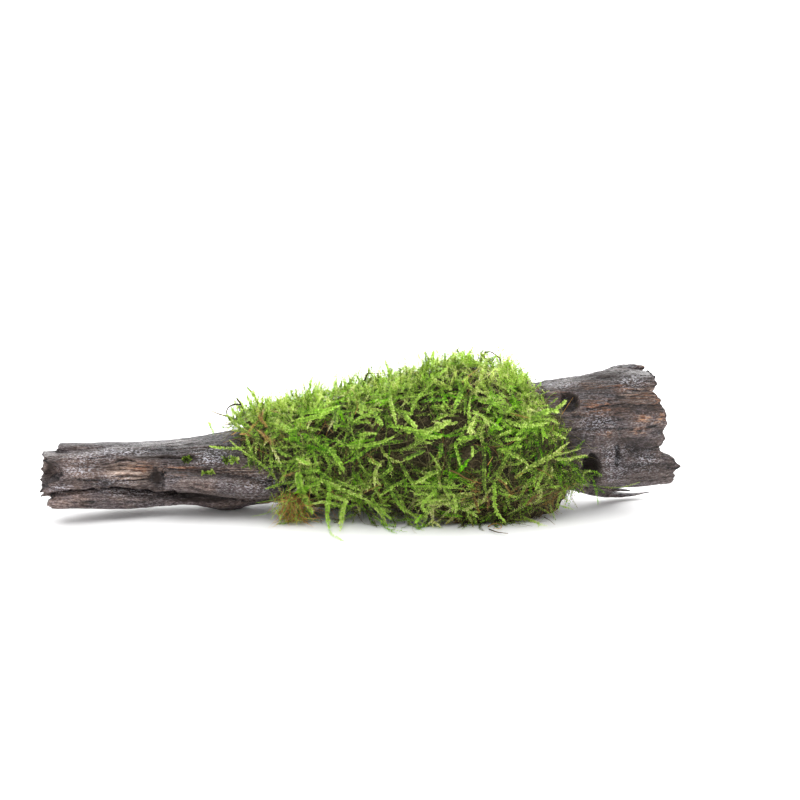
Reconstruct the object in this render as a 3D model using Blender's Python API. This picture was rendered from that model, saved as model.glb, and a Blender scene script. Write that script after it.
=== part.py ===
"""Java moss grown on a piece of driftwood, resting on its own foot as it stands on a shelf.

The wood is one weathered stick, 253 mm long, whose thin end curves forwards and up off the ground: a trunk with
strands of old grain grown or split along it, hollowed at its thin end and broken at its thick end. The moss is one
mat grown round its middle, with locks of shoots that stand out of it, and three sprigs that grow by themselves
on the bare wood.
+X runs along the wood to its thick end, +Y away from the viewer and +Z up. The origin is on the ground, under
the middle of the whole piece. Rows and points below are in millimetres, with y counted from the wood's own axis.
"""

import math

import bmesh
import bpy
import numpy as np
from mathutils import Vector
from mathutils.bvhtree import BVHTree

MM = 0.001

# Where the wood's own origin lies: behind the middle, because long shoots lie on the ground in front
WOOD_AXIS = Vector((-0.6, 7.1, 0.0))

# Touching pieces keep this clearance
CLEARANCE_MM = 0.45

# The thin end's curve: where it starts and ends, and how far its end comes forwards, up and back along the wood
CURVE_FROM_X, CURVE_TO_X = -58.0, -128.0
CURVE_FORWARDS, CURVE_UP, CURVE_IN = 18.0, 4.2, 2.4

# Rows of a strand: x, y and z of its centre, half its depth, half its height, and how square its section is.
TRUNK_ROWS = (
    (-126.5, 0, 15.6, 10.5, 8.0, 3.4),
    (-115, 0, 16.8, 11.2, 8.0, 3.4),
    (-104, 0, 17.4, 11.8, 8.2, 3.2),
    (-80, 1, 17.3, 13.0, 9.8, 2.8),
    (-64, 2, 17.8, 14.5, 11.2, 2.4),
    (-52, 2, 18.4, 15.5, 13.1, 2.3),
    (-38, 2, 19.0, 17.0, 15.3, 2.2),
    (-24, 1, 19.7, 18.5, 17.3, 2.2),
    (-4, 0, 20.5, 20.5, 20.0, 2.2),
    (16, -1, 21.4, 21.5, 22.4, 2.2),
    (36, -1, 22.2, 21.5, 24.2, 2.2),
    (56, 0, 23.8, 20.5, 25.0, 2.2),
    (70, 2, 26.4, 18.0, 24.2, 2.2),
    (80, 3, 29.4, 16.0, 23.0, 2.2),
    (88, 3, 31.0, 14.8, 22.8, 2.3),
    (97, 4, 32.0, 14.0, 23.6, 2.4),
    (110, 4, 33.0, 11.8, 24.0, 2.6),
    (118.5, 4, 33.4, 9.8, 23.0, 2.8),
)
RIDGE_ROWS = (
    (-122, 4, 24.0, 4.6, 2.9, 2.2),
    (-104, 4, 23.9, 5.2, 2.6, 2.2),
    (-92, 4, 23.8, 6.0, 2.5, 2.2),
    (-72, 5, 25.0, 6.5, 3.0, 2.2),
    (-54, 6, 27.6, 6.5, 3.0, 2.2),
)
SLAB_ROWS = (
    (-124.5, -2.4, 6.1, 8.6, 3.1, 3.2),
    (-114, -2.4, 6.6, 10.2, 3.6, 3.4),
    (-102, -2.2, 7.0, 11.2, 4.6, 3.4),
    (-90, -2, 6.6, 11.0, 4.1, 3.2),
    (-80, -1, 6.4, 10.0, 3.3, 2.8),
    (-70, 0, 6.2, 9.0, 3.2, 2.4),
    (-62, 0, 5.6, 8.0, 4.6, 2.2),
    (-54, 0, 5.0, 7.0, 5.6, 2.2),
    (-46, 1, 6.2, 6.4, 5.2, 2.2),
    (-37, 1, 7.6, 6.0, 4.8, 2.2),
    (-28, 1, 8.6, 5.0, 4.0, 2.2),
)
LOBE_ROWS = (
    (-79, -8, 15.9, 9.4, 4.2, 2.8),
    (-68, -8, 14.9, 10.2, 4.9, 2.5),
    (-56, -8.5, 13.6, 10.6, 5.3, 2.3),
    (-43, -8, 12.6, 10.6, 5.8, 2.2),
    (-34, -6, 12.2, 10.0, 5.2, 2.2),
    (-27, -4, 12.4, 9.0, 4.4, 2.2),
)
BACK_RIDGE_ROWS = (
    (86, 8, 47.6, 4.2, 3.0, 2.2),
    (95, 9.5, 50.9, 4.6, 3.3, 2.2),
    (102, 10.5, 53.6, 4.4, 3.3, 2.2),
    (108.5, 11, 54.9, 3.4, 2.6, 2.2),
    (113.5, 11.5, 56.0, 1.5, 1.1, 2.2),
)
SPLINTER_ROWS = (
    (82, 3, 12.0, 6.0, 5.0, 2.2),
    (90, 6, 8.6, 5.4, 3.8, 2.2),
    (96, 9, 6.0, 4.6, 3.0, 2.2),
    (103, 13, 3.2, 3.4, 1.7, 2.2),
    (109, 15, 2.0, 2.4, 0.9, 2.2),
    (115.5, 16, 2.5, 0.9, 0.4, 2.2),
)

# How far each height of the broken right end stands out, front and back
FRONT_BREAK = (
    (8, -4), (11, 5.5), (13, 7.6), (16, 7.0), (19, 9.2), (22, 7.0), (24, 1.5), (27, 0.4),
    (30, 3.0), (33, 1.4), (37, 3.6), (41, 3.0), (46, 0.4), (50, -2.4), (53, -0.8), (57.5, -2.6),
)
BACK_BREAK = ((8, -6), (16, -1), (22, -4), (27, -7), (34, -1), (41, -4), (48, -2), (57, -4))

# Knot holes: centre, and radii along x, y and z
KNOT_HOLES = (
    ("upper_knot_hole", (85.6, -10.0, 46.6), (3.2, 7.0, 3.0)),
    ("lower_knot_hole", (92.0, -10.4, 18.4), (3.8, 6.0, 5.4)),
)

# The moss mat, as rows of the same kind. Its right edge leans: it reaches further low down than at the top.
MAT_ROWS = (
    (-55, 2, 28.5, 16.6, 6.5, 2.2),
    (-47, 2, 28.0, 19.0, 11.0, 2.2),
    (-38, 1, 27.0, 21.5, 14.6, 2.2),
    (-28, 0, 25.2, 23.5, 19.0, 2.2),
    (-16, -1, 25.5, 25.5, 22.0, 2.2),
    (-2, -1.5, 26.7, 27.5, 24.6, 2.2),
    (14, -2, 28.0, 29.0, 27.0, 2.2),
    (30, -2, 28.3, 30.0, 30.6, 2.2),
    (46, -2, 28.3, 30.0, 31.8, 2.2),
    (58, -1, 27.2, 28.5, 30.0, 2.2),
    (70, 1, 27.0, 24.5, 26.8, 2.2),
    (80, 2, 29.0, 20.0, 24.2, 2.2),
    (85, 3, 30.4, 17.2, 22.6, 2.2),
)
MAT_LEAN = 0.5
MAT_LEAN_HEIGHT = 30.0

# The mat is open under the wood, so that the wood's own foot is what stands on the ground
UNDERSIDE_LOW = (-70.0, -14.0, -6.0)
UNDERSIDE_HIGH = (100.0, 14.0, 10.0)

# Locks of shoots: how many each row has along the mat, and where the row lies, from the back (0 degrees) over
# the top (90 degrees) to the front
LOCK_ROWS = ((-20.0, 6), (20.0, 7), (58.0, 8), (86.0, 10), (112.0, 9), (142.0, 9), (174.0, 9), (204.0, 8))
LOCK_FIRST_X = -50.0
LOCK_LAST_X = 84.0
LOCK_LENGTH = 17.5
LOCK_WIDTH = 8.4
LOCK_THICKNESS = 3.0
LOCK_OUTLINE = ((0.0, 0.6), (0.34, 1.0), (0.7, 0.62))
SEED = 7

# Long shoots placed one by one: base, bend and tip
LONG_SHOOTS = (
    ((-48, -10, 36), (-56, -10, 39), (-62, -9, 42.4)),
    ((-47, -12, 30), (-55, -16, 29), (-61, -18, 28.4)),
    ((-26, -18, 14), (-29, -22, 8), (-31, -22, 2.0)),
    ((-19, -20, 12), (-21, -25, 6), (-22, -26, 0.9)),
    ((-12, -19, 13), (-12, -34, 6), (-7, -52, 0.9)),
    ((4, -22, 13), (2, -31, 8), (3, -33, 2.4)),
    ((22, -22, 12), (20, -32, 7), (16, -36, 1.2)),
    ((46, -23, 12), (50, -34, 6), (58, -38, 0.9)),
    ((62, -20, 12), (66, -29, 7), (72, -31, 2.0)),
    ((76, -17, 20), (86, -20, 24), (97, -17, 26.0)),
    ((80, -13, 15), (87, -16, 14), (93, -14, 12.6)),
    ((40, -2, 57), (42, -2, 62.4), (46, -2, 67.6)),
    ((50, 0, 56), (53, -1, 61), (56, -2, 66.2)),
    ((28, -1, 56), (26, -2, 61), (24, -3, 65)),
    ((-14, -1, 45), (-18, -2, 50), (-22, -3, 53.4)),
)

# Sprigs on the bare wood: where they root, seen from the front, and where they point
SPRIGS = (
    ("sprig_on_crack", (-70.5, 20.6), (2.4, -1.2, 2.6)),
    ("sprig_on_lobe", (-60.5, 16.4), (-2.0, -1.4, -2.4)),
    ("sprig_near_mat", (-53.0, 20.4), (3.2, -1.4, -1.4)),
)
SPRIG_RADIUS = 0.9
SPRIG_WIDTH = 2.2
SPRIG_THICKNESS = 1.4

WOOD_COLOUR = (0.105, 0.082, 0.074, 1.0)
MOSS_COLOUR = (0.150, 0.270, 0.045, 1.0)


def material(name, colour, roughness):
    """A Principled material of one colour."""
    made = bpy.data.materials.new(name)
    made.use_nodes = True
    shader = made.node_tree.nodes["Principled BSDF"]
    shader.inputs["Base Color"].default_value = colour
    shader.inputs["Roughness"].default_value = roughness
    shader.inputs["Metallic"].default_value = 0.0
    return made


def object_of(name, bm, look):
    """Turns a bmesh, in millimetres from the wood's axis, into a named and smooth-shaded object in metres."""
    bmesh.ops.recalc_face_normals(bm, faces=bm.faces)
    for v in bm.verts:
        v.co = (v.co + WOOD_AXIS) * MM
    mesh = bpy.data.meshes.new(name)
    bm.to_mesh(mesh)
    bm.free()
    mesh.materials.append(look)
    made = bpy.data.objects.new(name, mesh)
    bpy.context.scene.collection.objects.link(made)
    mesh.shade_smooth()
    mesh.set_sharp_from_angle(angle=math.radians(50))
    return made


def row_at(rows, x):
    """The row at x, on a smooth curve through the rows."""
    table = np.array(rows, float)
    xs = table[:, 0]
    slopes = np.gradient(table[:, 1:], xs, axis=0)
    i = int(np.clip(np.searchsorted(xs, x) - 1, 0, len(xs) - 2))
    step = xs[i + 1] - xs[i]
    t = float(np.clip((x - xs[i]) / step, 0, 1))
    near, far = table[i, 1:], table[i + 1, 1:]
    return (
        (2 * t**3 - 3 * t**2 + 1) * near
        + (t**3 - 2 * t**2 + t) * step * slopes[i]
        + (3 * t**2 - 2 * t**3) * far
        + (t**3 - t**2) * step * slopes[i + 1]
    )


def fade(x, start, end):
    """0 at start and 1 at end, smoothly."""
    t = min(1.0, max(0.0, (x - start) / (end - start)))
    return t * t * (3 - 2 * t)


def section(row, angle, swell=1.0, spare=0.0):
    """The point of a squared ellipse at an angle: 0 is the back, 90 degrees the top and 180 degrees the front."""
    y, z, depth, height, square = row
    c, s = math.cos(angle), math.sin(angle)
    power = 2 / square
    return (
        y + (swell * depth + spare) * math.copysign(abs(c) ** power, c),
        z + (swell * height + spare) * math.copysign(abs(s) ** power, s),
    )


def knobbly(x, angle, depth):
    """Uneven growth: how much the section swells at this place, as a share."""
    return 1 + depth * (
        0.5 * math.sin(3 * angle + 0.9 + x / 21)
        + 0.3 * math.sin(5 * angle + 2.0 - x / 13)
        + 0.2 * math.sin(8 * angle + x / 7)
    )


def curved(x, y, z):
    """A point carried along by the thin end's curve, which grows with the square of how far along it is."""
    share = max(0.0, (x - CURVE_FROM_X) / (CURVE_TO_X - CURVE_FROM_X)) ** 2
    return Vector((x + CURVE_IN * share, y - CURVE_FORWARDS * share, z + CURVE_UP * share))


def skin(bm, rings):
    """Skins a list of rings of points, and closes each end on the middle of its last ring."""
    loops = [[bm.verts.new(p) for p in ring] for ring in rings]
    for near, far in zip(loops, loops[1:]):
        for k in range(len(near)):
            n = (k + 1) % len(near)
            bm.faces.new((near[k], near[n], far[n], far[k]))
    for loop, outward in ((loops[0], False), (loops[-1], True)):
        middle = bm.verts.new(sum((v.co for v in loop), Vector()) / len(loop))
        for k in range(len(loop)):
            corners = (loop[k], loop[(k + 1) % len(loop)], middle)
            bm.faces.new(corners if outward else corners[::-1])


def strand(name, rows, rings, sides, look, swell=0.06, rims=(None, None), caps=((), ()), spare=0.0, floor=0.0):
    """A strand of grain lofted along its rows. A rim says how far a place on an end's edge stands out. A cap is
    pairs of how much its ring shrinks and how far it sinks in, from the edge to the middle of the end."""
    first, last = rows[0][0], rows[-1][0]
    reach = 0.22 * (last - first)
    sheets = []
    for i in range(rings):
        x = first + (last - first) * i / (rings - 1)
        row = row_at(rows, x)
        ring = []
        for k in range(sides):
            angle = 2 * math.pi * k / sides
            y, z = section(row, angle, knobbly(x, angle, swell), spare)
            out = 0.0
            if rims[0]:
                out -= rims[0](angle, z) * fade(x, first + reach, first)
            if rims[1]:
                out += rims[1](angle, z) * fade(x, last - reach, last)
            ring.append(curved(x + out, y, max(z, floor)))
        sheets.append(ring)

    def capped(ring, cap, inward):
        middle = sum(ring, Vector()) / len(ring)
        sink = Vector((inward, 0, 0))
        return [[middle + (p - middle) * shrink + sink * depth for p in ring] for shrink, depth in cap]

    left = capped(sheets[0], caps[0], 1)
    right = capped(sheets[-1], caps[1], -1)
    bm = bmesh.new()
    skin(bm, left[::-1] + sheets + right)
    return object_of(name, bm, look)


def left_break(angle, z):
    """The torn left end of the trunk: its front is scooped away between an upper and a lower edge."""
    front = max(0.0, -math.cos(angle))
    scoop = 8.0 * front**2 * math.exp(-(((z - 16.5) / 5.0) ** 2))
    return 0.6 + 0.9 * math.sin(9 * angle) + 0.6 * math.sin(14 * angle + 1) - scoop


def right_break(angle, z):
    """The broken right end of the trunk, between the two break outlines."""
    front = np.interp(z, *zip(*FRONT_BREAK))
    back = np.interp(z, *zip(*BACK_BREAK))
    share = min(1.0, 0.8 - 0.8 * math.cos(angle))
    return float(back + (front - back) * share)


def torn(size, count, turn):
    """A small torn end with a few teeth."""
    return lambda angle, z: size * math.sin(count * angle + turn)


def mat_edge(angle, z):
    """The right edge of the mat, which leans and is ragged."""
    return -MAT_LEAN * (z - MAT_LEAN_HEIGHT) + 1.6 * math.sin(7 * angle + 1.0)


def boolean(obj, other, operation, crossing=False):
    """Adds or cuts away another shape, which then only this modifier reads."""
    change = obj.modifiers.new(other.name, "BOOLEAN")
    change.operation = operation
    change.solver = "EXACT"
    change.use_self = crossing
    change.object = other
    other.hide_render = True
    other.display_type = "WIRE"


def knot_hole(name, centre, radii, look):
    """A rounded cutter."""
    bm = bmesh.new()
    bmesh.ops.create_icosphere(bm, subdivisions=2, radius=1.0)
    for v in bm.verts:
        v.co = Vector(c + r * p for c, r, p in zip(centre, radii, v.co))
    return object_of(name, bm, look)


def trunk(name, look, spare=0.0, floor=0.0):
    return strand(
        name, TRUNK_ROWS, 34, 24, look, 0.055, (left_break, right_break),
        (((0.78, 1.2), (0.5, 3.4), (0.2, 4.4)), ((0.8, 2.5), (0.66, 9.0), (0.34, 12.0))), spare, floor,
    )


def slab(name, look, spare=0.0, floor=0.0):
    return strand(
        name, SLAB_ROWS, 22, 12, look, 0.07, (torn(1.5, 4, 1), None), (((0.6, 0.4),), ((0.5, -1.0),)), spare, floor,
    )


def lobe(name, look, spare=0.0):
    return strand(
        name, LOBE_ROWS, 12, 12, look, 0.08, (torn(0.5, 4, 2), None), (((0.55, 0.2),), ((0.5, -1.0),)), spare,
    )


def splinter(name, look, spare=0.0):
    return strand(
        name, SPLINTER_ROWS, 11, 8, look, 0.05, (None, None), (((0.5, -0.6),), ((0.5, -0.3),)), spare,
    )


def make_driftwood():
    look = material("wet_driftwood", WOOD_COLOUR, 0.42)
    wood = trunk("driftwood", look)
    round_tips = (((0.5, -0.6),), ((0.5, -0.8),))
    strands = (
        strand("top_ridge", RIDGE_ROWS, 13, 10, look, 0.08, (torn(0.8, 3, 0), None), round_tips),
        slab("slab_and_keel", look),
        lobe("front_lobe", look),
        strand("back_ridge", BACK_RIDGE_ROWS, 7, 8, look, 0.05, (None, torn(0.6, 3, 0)), round_tips),
        splinter("low_splinter", look),
    )
    for piece in strands:
        boolean(wood, piece, "UNION")
    for name, centre, radii in KNOT_HOLES:
        boolean(wood, knot_hole(name, centre, radii, look), "DIFFERENCE")
    return wood


def lock(bm, base, bend, tip, width, thickness, facing):
    """One lock of shoots: a flat four-sided blade, carried along a curve from base to tip that is pulled towards
    bend, and drawn out to a point."""
    end = bm.verts.new(tip)
    loops = []
    for t, share in LOCK_OUTLINE:
        point = base * (1 - t) ** 2 + bend * 2 * t * (1 - t) + tip * t**2
        along = ((bend - base) * (1 - t) + (tip - bend) * t).normalized()
        across = along.cross(facing).normalized()
        up = across.cross(along).normalized()
        w, h = across * width * share / 2, up * thickness * share / 2
        loops.append([bm.verts.new(point + corner) for corner in (w, h, -w, -h)])
    for near, far in zip(loops, loops[1:]):
        for k in range(4):
            n = (k + 1) % 4
            bm.faces.new((near[k], near[n], far[n], far[k]))
    for k in range(4):
        bm.faces.new((loops[-1][k], loops[-1][(k + 1) % 4], end))
    bm.faces.new(loops[0][::-1])


def mat_point(x, angle, above=0.0):
    """A point on the mat's outside, or above it."""
    y, z = section(row_at(MAT_ROWS, x), angle, 1.0, above)
    shift = mat_edge(angle, z) * fade(x, 52, 85)
    return Vector((x + shift, y, max(z, 0.9)))


def make_locks(look):
    """Locks all round the mat. Those on top stand up, and those on the sides lie along it and hang."""
    rng = np.random.default_rng(SEED)
    bm = bmesh.new()
    for row, (degrees, count) in enumerate(LOCK_ROWS):
        for column in range(count):
            share = (column + 0.25 + 0.5 * (row % 2) + rng.uniform(-0.2, 0.2)) / count
            x = LOCK_FIRST_X + (LOCK_LAST_X - LOCK_FIRST_X) * share
            angle = math.radians(degrees + rng.uniform(-8, 8))
            base = mat_point(x, angle, -1.4)
            outward = (mat_point(x, angle, 5.0) - mat_point(x, angle)).normalized()
            hanging = Vector((0, -outward.z, outward.y)) * math.copysign(1, -outward.y)
            swing = rng.uniform(-1.1, 1.1) + 1.1 * (share - 0.45)
            along = (hanging * (1 - 0.8 * abs(outward.z)) + Vector((swing, 0, 0))).normalized()
            rise = 0.24 + 0.22 * max(0.0, outward.z)
            length = LOCK_LENGTH * rng.uniform(0.8, 1.2)
            tip = base + (along + outward * rise).normalized() * length
            bend = (base + tip) / 2 + outward * 1.2
            tip.z = max(tip.z, 0.9)
            lock(bm, base, bend, tip, LOCK_WIDTH, LOCK_THICKNESS, outward)
    for shoot in LONG_SHOOTS:
        base, bend, tip = (Vector(p) for p in shoot)
        lock(bm, base, bend, tip, LOCK_WIDTH * 0.5, LOCK_THICKNESS * 0.7, Vector((0.1, -0.8, 0.6)))
    return object_of("locks", bm, look)


def make_moss_mat():
    look = material("java_moss", MOSS_COLOUR, 0.6)
    edges = (torn(1.8, 7, 0.5), mat_edge)
    mat = strand("moss_mat", MAT_ROWS, 24, 22, look, 0.05, edges, (((0.9, -0.6),), ((0.9, -0.6),)))
    boolean(mat, make_locks(look), "UNION", crossing=True)
    spare, below = CLEARANCE_MM, -8.0
    cutters = (
        trunk("trunk_clearance", look, spare, below),
        slab("slab_clearance", look, spare, below),
        lobe("lobe_clearance", look, spare),
        splinter("splinter_clearance", look, spare),
    )
    for cutter in cutters:
        boolean(mat, cutter, "DIFFERENCE")
    bm = bmesh.new()
    bmesh.ops.create_cube(bm, size=1.0)
    low, high = Vector(UNDERSIDE_LOW), Vector(UNDERSIDE_HIGH)
    for v in bm.verts:
        v.co = Vector(a + (b - a) * (c + 0.5) for a, b, c in zip(low, high, v.co))
    boolean(mat, object_of("underside_opening", bm, look), "DIFFERENCE")
    return mat


def make_sprigs(wood):
    """Small sprigs that cling to the front of the bare wood, found by looking straight at it."""
    look = material("java_moss_sprig", MOSS_COLOUR, 0.6)
    bpy.context.view_layer.update()
    surface = BVHTree.FromObject(wood, bpy.context.evaluated_depsgraph_get())
    for name, (x, z), reach in SPRIGS:
        start = (Vector((x, -80, z)) + WOOD_AXIS) * MM
        hit = surface.ray_cast(start, Vector((0, 1, 0)))[0] / MM - WOOD_AXIS
        base = hit + Vector((0, -SPRIG_RADIUS - CLEARANCE_MM, 0))
        reach = Vector(reach)
        bm = bmesh.new()
        lock(bm, base, base + reach * 0.6, base + reach * 1.4, SPRIG_WIDTH, SPRIG_THICKNESS, Vector((0, -1, 0)))
        object_of(name, bm, look)


def clear_scene():
    for obj in list(bpy.data.objects):
        bpy.data.objects.remove(obj, do_unlink=True)


clear_scene()
driftwood = make_driftwood()
make_moss_mat()
make_sprigs(driftwood)
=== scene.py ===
"""Java moss on driftwood: the looks of the wood and the moss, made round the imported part."""

import itertools
import math

import bpy
import numpy as np
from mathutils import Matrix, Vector
from mathutils.bvhtree import BVHTree


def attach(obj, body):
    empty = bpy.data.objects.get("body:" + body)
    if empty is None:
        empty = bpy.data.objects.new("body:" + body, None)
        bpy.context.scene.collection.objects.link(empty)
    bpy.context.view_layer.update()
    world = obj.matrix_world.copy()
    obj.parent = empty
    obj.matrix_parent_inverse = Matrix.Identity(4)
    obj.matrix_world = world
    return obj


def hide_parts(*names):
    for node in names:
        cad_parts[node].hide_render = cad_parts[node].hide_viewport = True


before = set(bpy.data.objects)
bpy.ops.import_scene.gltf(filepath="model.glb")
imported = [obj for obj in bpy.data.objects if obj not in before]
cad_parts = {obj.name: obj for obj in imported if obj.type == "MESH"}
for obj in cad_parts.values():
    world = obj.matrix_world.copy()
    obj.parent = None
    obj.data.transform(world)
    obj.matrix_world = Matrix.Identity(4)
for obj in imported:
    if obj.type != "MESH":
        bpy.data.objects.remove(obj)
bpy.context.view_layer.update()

# The camera
# It stands in front of the wood, a little above it, and sees what the photograph shows. Lengths below are in
# millimetres from the wood's own origin, and a place in the photograph is in its 800 by 800 pixels.
MM = 0.001
WOOD_ORIGIN = np.array([-0.6, 7.1, 0.0])
PHOTO_WIDTH_PX = 800
LOOK_DOWN = math.radians(13.0)
LENS, SENSOR = 100.0, 36.0
AIM = np.array([15.2, 0.0, 45.2])
CAMERA_AWAY = 890.0
NEAREST_SEEN = 10.0

SIGHT = np.array([0.0, math.cos(LOOK_DOWN), -math.sin(LOOK_DOWN)])
SIGHT_RIGHT = np.array([1.0, 0.0, 0.0])
SIGHT_UP = np.array([0.0, math.sin(LOOK_DOWN), math.cos(LOOK_DOWN)])
EYE = AIM - CAMERA_AWAY * SIGHT
FOCAL_PX = PHOTO_WIDTH_PX * LENS / SENSOR


def shown(name, data):
    """A new object that shows the data, linked to the scene."""
    made = bpy.data.objects.new(name, data)
    bpy.context.scene.collection.objects.link(made)
    return made


camera = bpy.data.cameras.new("camera")
camera.lens, camera.sensor_width = LENS, SENSOR
camera.clip_start = NEAREST_SEEN * MM
eye = shown("camera", camera)
eye.location = (EYE + WOOD_ORIGIN) * MM
eye.rotation_euler = Vector(SIGHT).to_track_quat("-Z", "Y").to_euler()
bpy.context.scene.camera = eye


def seen(p):
    """Where points show in the photograph: their distances right of and above the line of sight, over their
    distance from the eye, times the focal length in pixels."""
    away = p - EYE
    depth = away @ SIGHT
    middle = PHOTO_WIDTH_PX / 2
    return middle + FOCAL_PX * (away @ SIGHT_RIGHT) / depth, middle - FOCAL_PX * (away @ SIGHT_UP) / depth


def sight_line(px, py):
    """The direction from the eye through places in the photograph: the line of sight, moved right and up by
    the place's distance from the middle over the focal length."""
    right = (np.asarray(px, float) - PHOTO_WIDTH_PX / 2) / FOCAL_PX
    up = (PHOTO_WIDTH_PX / 2 - np.asarray(py, float)) / FOCAL_PX
    return SIGHT + right[..., None] * SIGHT_RIGHT + up[..., None] * SIGHT_UP


# The driftwood
# One weathered stick of dark bogwood without forks, hollowed at its thin left end and broken off at its thick
# right end. It is shaped by water and rot: strands of old grain stand off the trunk, and it lies there wet.

# The scale of the photograph at the wood
PX_PER_MM = 2.5

# Rows of a strand: x, y and z of its centre, half its depth, half its height, and how square its section is.
TRUNK_ROWS = (
    (-126.5, 0, 15.6, 10.5, 8.0, 3.4),
    (-115, 0, 16.8, 11.2, 8.0, 3.4),
    (-104, 0, 17.4, 11.8, 8.2, 3.2),
    (-80, 1, 17.3, 13.0, 9.8, 2.8),
    (-64, 2, 17.8, 14.5, 11.2, 2.4),
    (-52, 2, 18.4, 15.5, 13.1, 2.3),
    (-38, 2, 19.0, 17.0, 15.3, 2.2),
    (-24, 1, 19.7, 18.5, 17.3, 2.2),
    (-4, 0, 20.5, 20.5, 20.0, 2.2),
    (16, -1, 21.4, 21.5, 22.4, 2.2),
    (36, -1, 22.2, 21.5, 24.2, 2.2),
    (56, 0, 23.8, 20.5, 25.0, 2.2),
    (70, 2, 26.4, 18.0, 24.2, 2.2),
    (80, 3, 29.4, 16.0, 23.0, 2.2),
    (88, 3, 31.0, 14.8, 22.8, 2.3),
    (97, 4, 32.0, 14.0, 23.6, 2.4),
    (110, 4, 33.0, 11.8, 24.0, 2.6),
    (118.5, 4, 33.4, 9.8, 23.0, 2.8),
)
RIDGE_ROWS = (
    (-122, 4, 24.0, 4.6, 2.9, 2.2),
    (-104, 4, 23.9, 5.2, 2.6, 2.2),
    (-92, 4, 23.8, 6.0, 2.5, 2.2),
    (-72, 5, 25.0, 6.5, 3.0, 2.2),
    (-54, 6, 27.6, 6.5, 3.0, 2.2),
)
SLAB_ROWS = (
    (-124.5, -2.4, 6.1, 8.6, 3.1, 3.2),
    (-114, -2.4, 6.6, 10.2, 3.6, 3.4),
    (-102, -2.2, 7.0, 11.2, 4.6, 3.4),
    (-90, -2, 6.6, 11.0, 4.1, 3.2),
    (-80, -1, 6.4, 10.0, 3.3, 2.8),
    (-70, 0, 6.2, 9.0, 3.2, 2.4),
    (-62, 0, 5.6, 8.0, 4.6, 2.2),
    (-54, 0, 5.0, 7.0, 5.6, 2.2),
    (-46, 1, 6.2, 6.4, 5.2, 2.2),
    (-37, 1, 7.6, 6.0, 4.8, 2.2),
    (-28, 1, 8.6, 5.0, 4.0, 2.2),
)
LOBE_ROWS = (
    (-79, -8, 15.9, 9.4, 4.2, 2.8),
    (-68, -8, 14.9, 10.2, 4.9, 2.5),
    (-56, -8.5, 13.6, 10.6, 5.3, 2.3),
    (-43, -8, 12.6, 10.6, 5.8, 2.2),
    (-34, -6, 12.2, 10.0, 5.2, 2.2),
    (-27, -4, 12.4, 9.0, 4.4, 2.2),
)
BACK_RIDGE_ROWS = (
    (86, 8, 47.6, 4.2, 3.0, 2.2),
    (95, 9.5, 50.9, 4.6, 3.3, 2.2),
    (102, 10.5, 53.6, 4.4, 3.3, 2.2),
    (108.5, 11, 54.9, 3.4, 2.6, 2.2),
    (113.5, 11.5, 56.0, 1.5, 1.1, 2.2),
)
SPLINTER_ROWS = (
    (82, 3, 12.0, 6.0, 5.0, 2.2),
    (90, 6, 8.6, 5.4, 3.8, 2.2),
    (96, 10, 5.2, 4.4, 2.6, 2.2),
    (102, 13, 2.9, 3.2, 1.4, 2.2),
    (109, 15, 1.9, 2.2, 0.75, 2.2),
    (117.5, 16, 2.5, 0.8, 0.35, 2.2),
)
TOOTH_ROWS = (
    (88, 4, 10.2, 3.4, 3.0, 2.2),
    (97, 5, 7.8, 2.6, 1.7, 2.2),
    (103, 5.5, 6.6, 1.8, 1.0, 2.2),
    (108.5, 6, 6.0, 0.8, 0.4, 2.2),
)

# The thin end curves forwards and up off the ground: where the curve starts and ends, and how far it moves
# the end
CURVE_FROM_X, CURVE_TO_X = -58.0, -128.0
CURVE = np.array([2.4, -18.0, 4.2])

# How far each height of the broken right end stands out, front and back
FRONT_BREAK = (
    (8, -4), (11, 5.5), (13, 7.6), (16, 7.0), (19, 9.2), (22, 7.0), (24, 1.5), (27, 0.4),
    (30, 3.0), (33, 1.4), (37, 3.6), (41, 3.0), (46, 0.4), (50, -2.4), (53, -0.8), (57.5, -2.6),
)
BACK_BREAK = ((8, -6), (16, -1), (22, -4), (27, -7), (34, -1), (41, -4), (48, -2), (57, -4))

# From the edge to the middle of a broken end: how much its outline shrinks and how far it sinks in
LEFT_CAP = ((1.0, 0.0), (0.84, 1.0), (0.6, 0.2), (0.3, -0.9), (0.0, -1.4))
RIGHT_CAP = ((1.0, 0.0), (0.8, 2.5), (0.66, 9.0), (0.34, 12.0), (0.0, 12.6))
SOFT_CAP = ((0.5, -0.6), (0.0, -0.7))
CAP_RINGS, SOFT_CAP_RINGS = 14, 2
SMALLEST_RING = 0.012

# Cracks that the photograph shows in front: where they run in pixels, how wide and how deep in millimetres
CRACKS_PX = (
    (((51, 494.5), (75, 492), (100, 489.5), (115, 491), (134, 493), (159, 494.5), (176, 492)), 0.36, 2.4),
    (((112, 490.5), (128, 492), (150, 494)), 0.8, 1.6),
    (((115, 461.6), (122, 459.6), (134, 460)), 0.35, 1.2),
    (((159, 457), (175, 456.8), (191, 456)), 0.4, 1.4),
    (((166, 449), (190, 448), (237, 446)), 0.3, 1.0),
    (((56, 451.5), (80, 451.5), (110, 451), (140, 449), (160, 449)), 0.4, 1.1),
    (((70, 466), (105, 468), (140, 464)), 0.3, 0.5),
    (((75, 479), (110, 482), (150, 480)), 0.3, 0.5),
    (((619, 371.6), (629, 368.4), (639, 367.6), (650, 371)), 0.35, 1.4),
    (((618, 448), (619, 456), (617, 464)), 0.8, 2.2),
    (((545, 408), (580, 410), (620, 404), (664, 406)), 0.3, 0.6),
    (((560, 430), (600, 428), (640, 430), (664, 424)), 0.3, 0.6),
    (((590, 389), (625, 385), (655, 386)), 0.3, 0.5),
)

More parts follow.
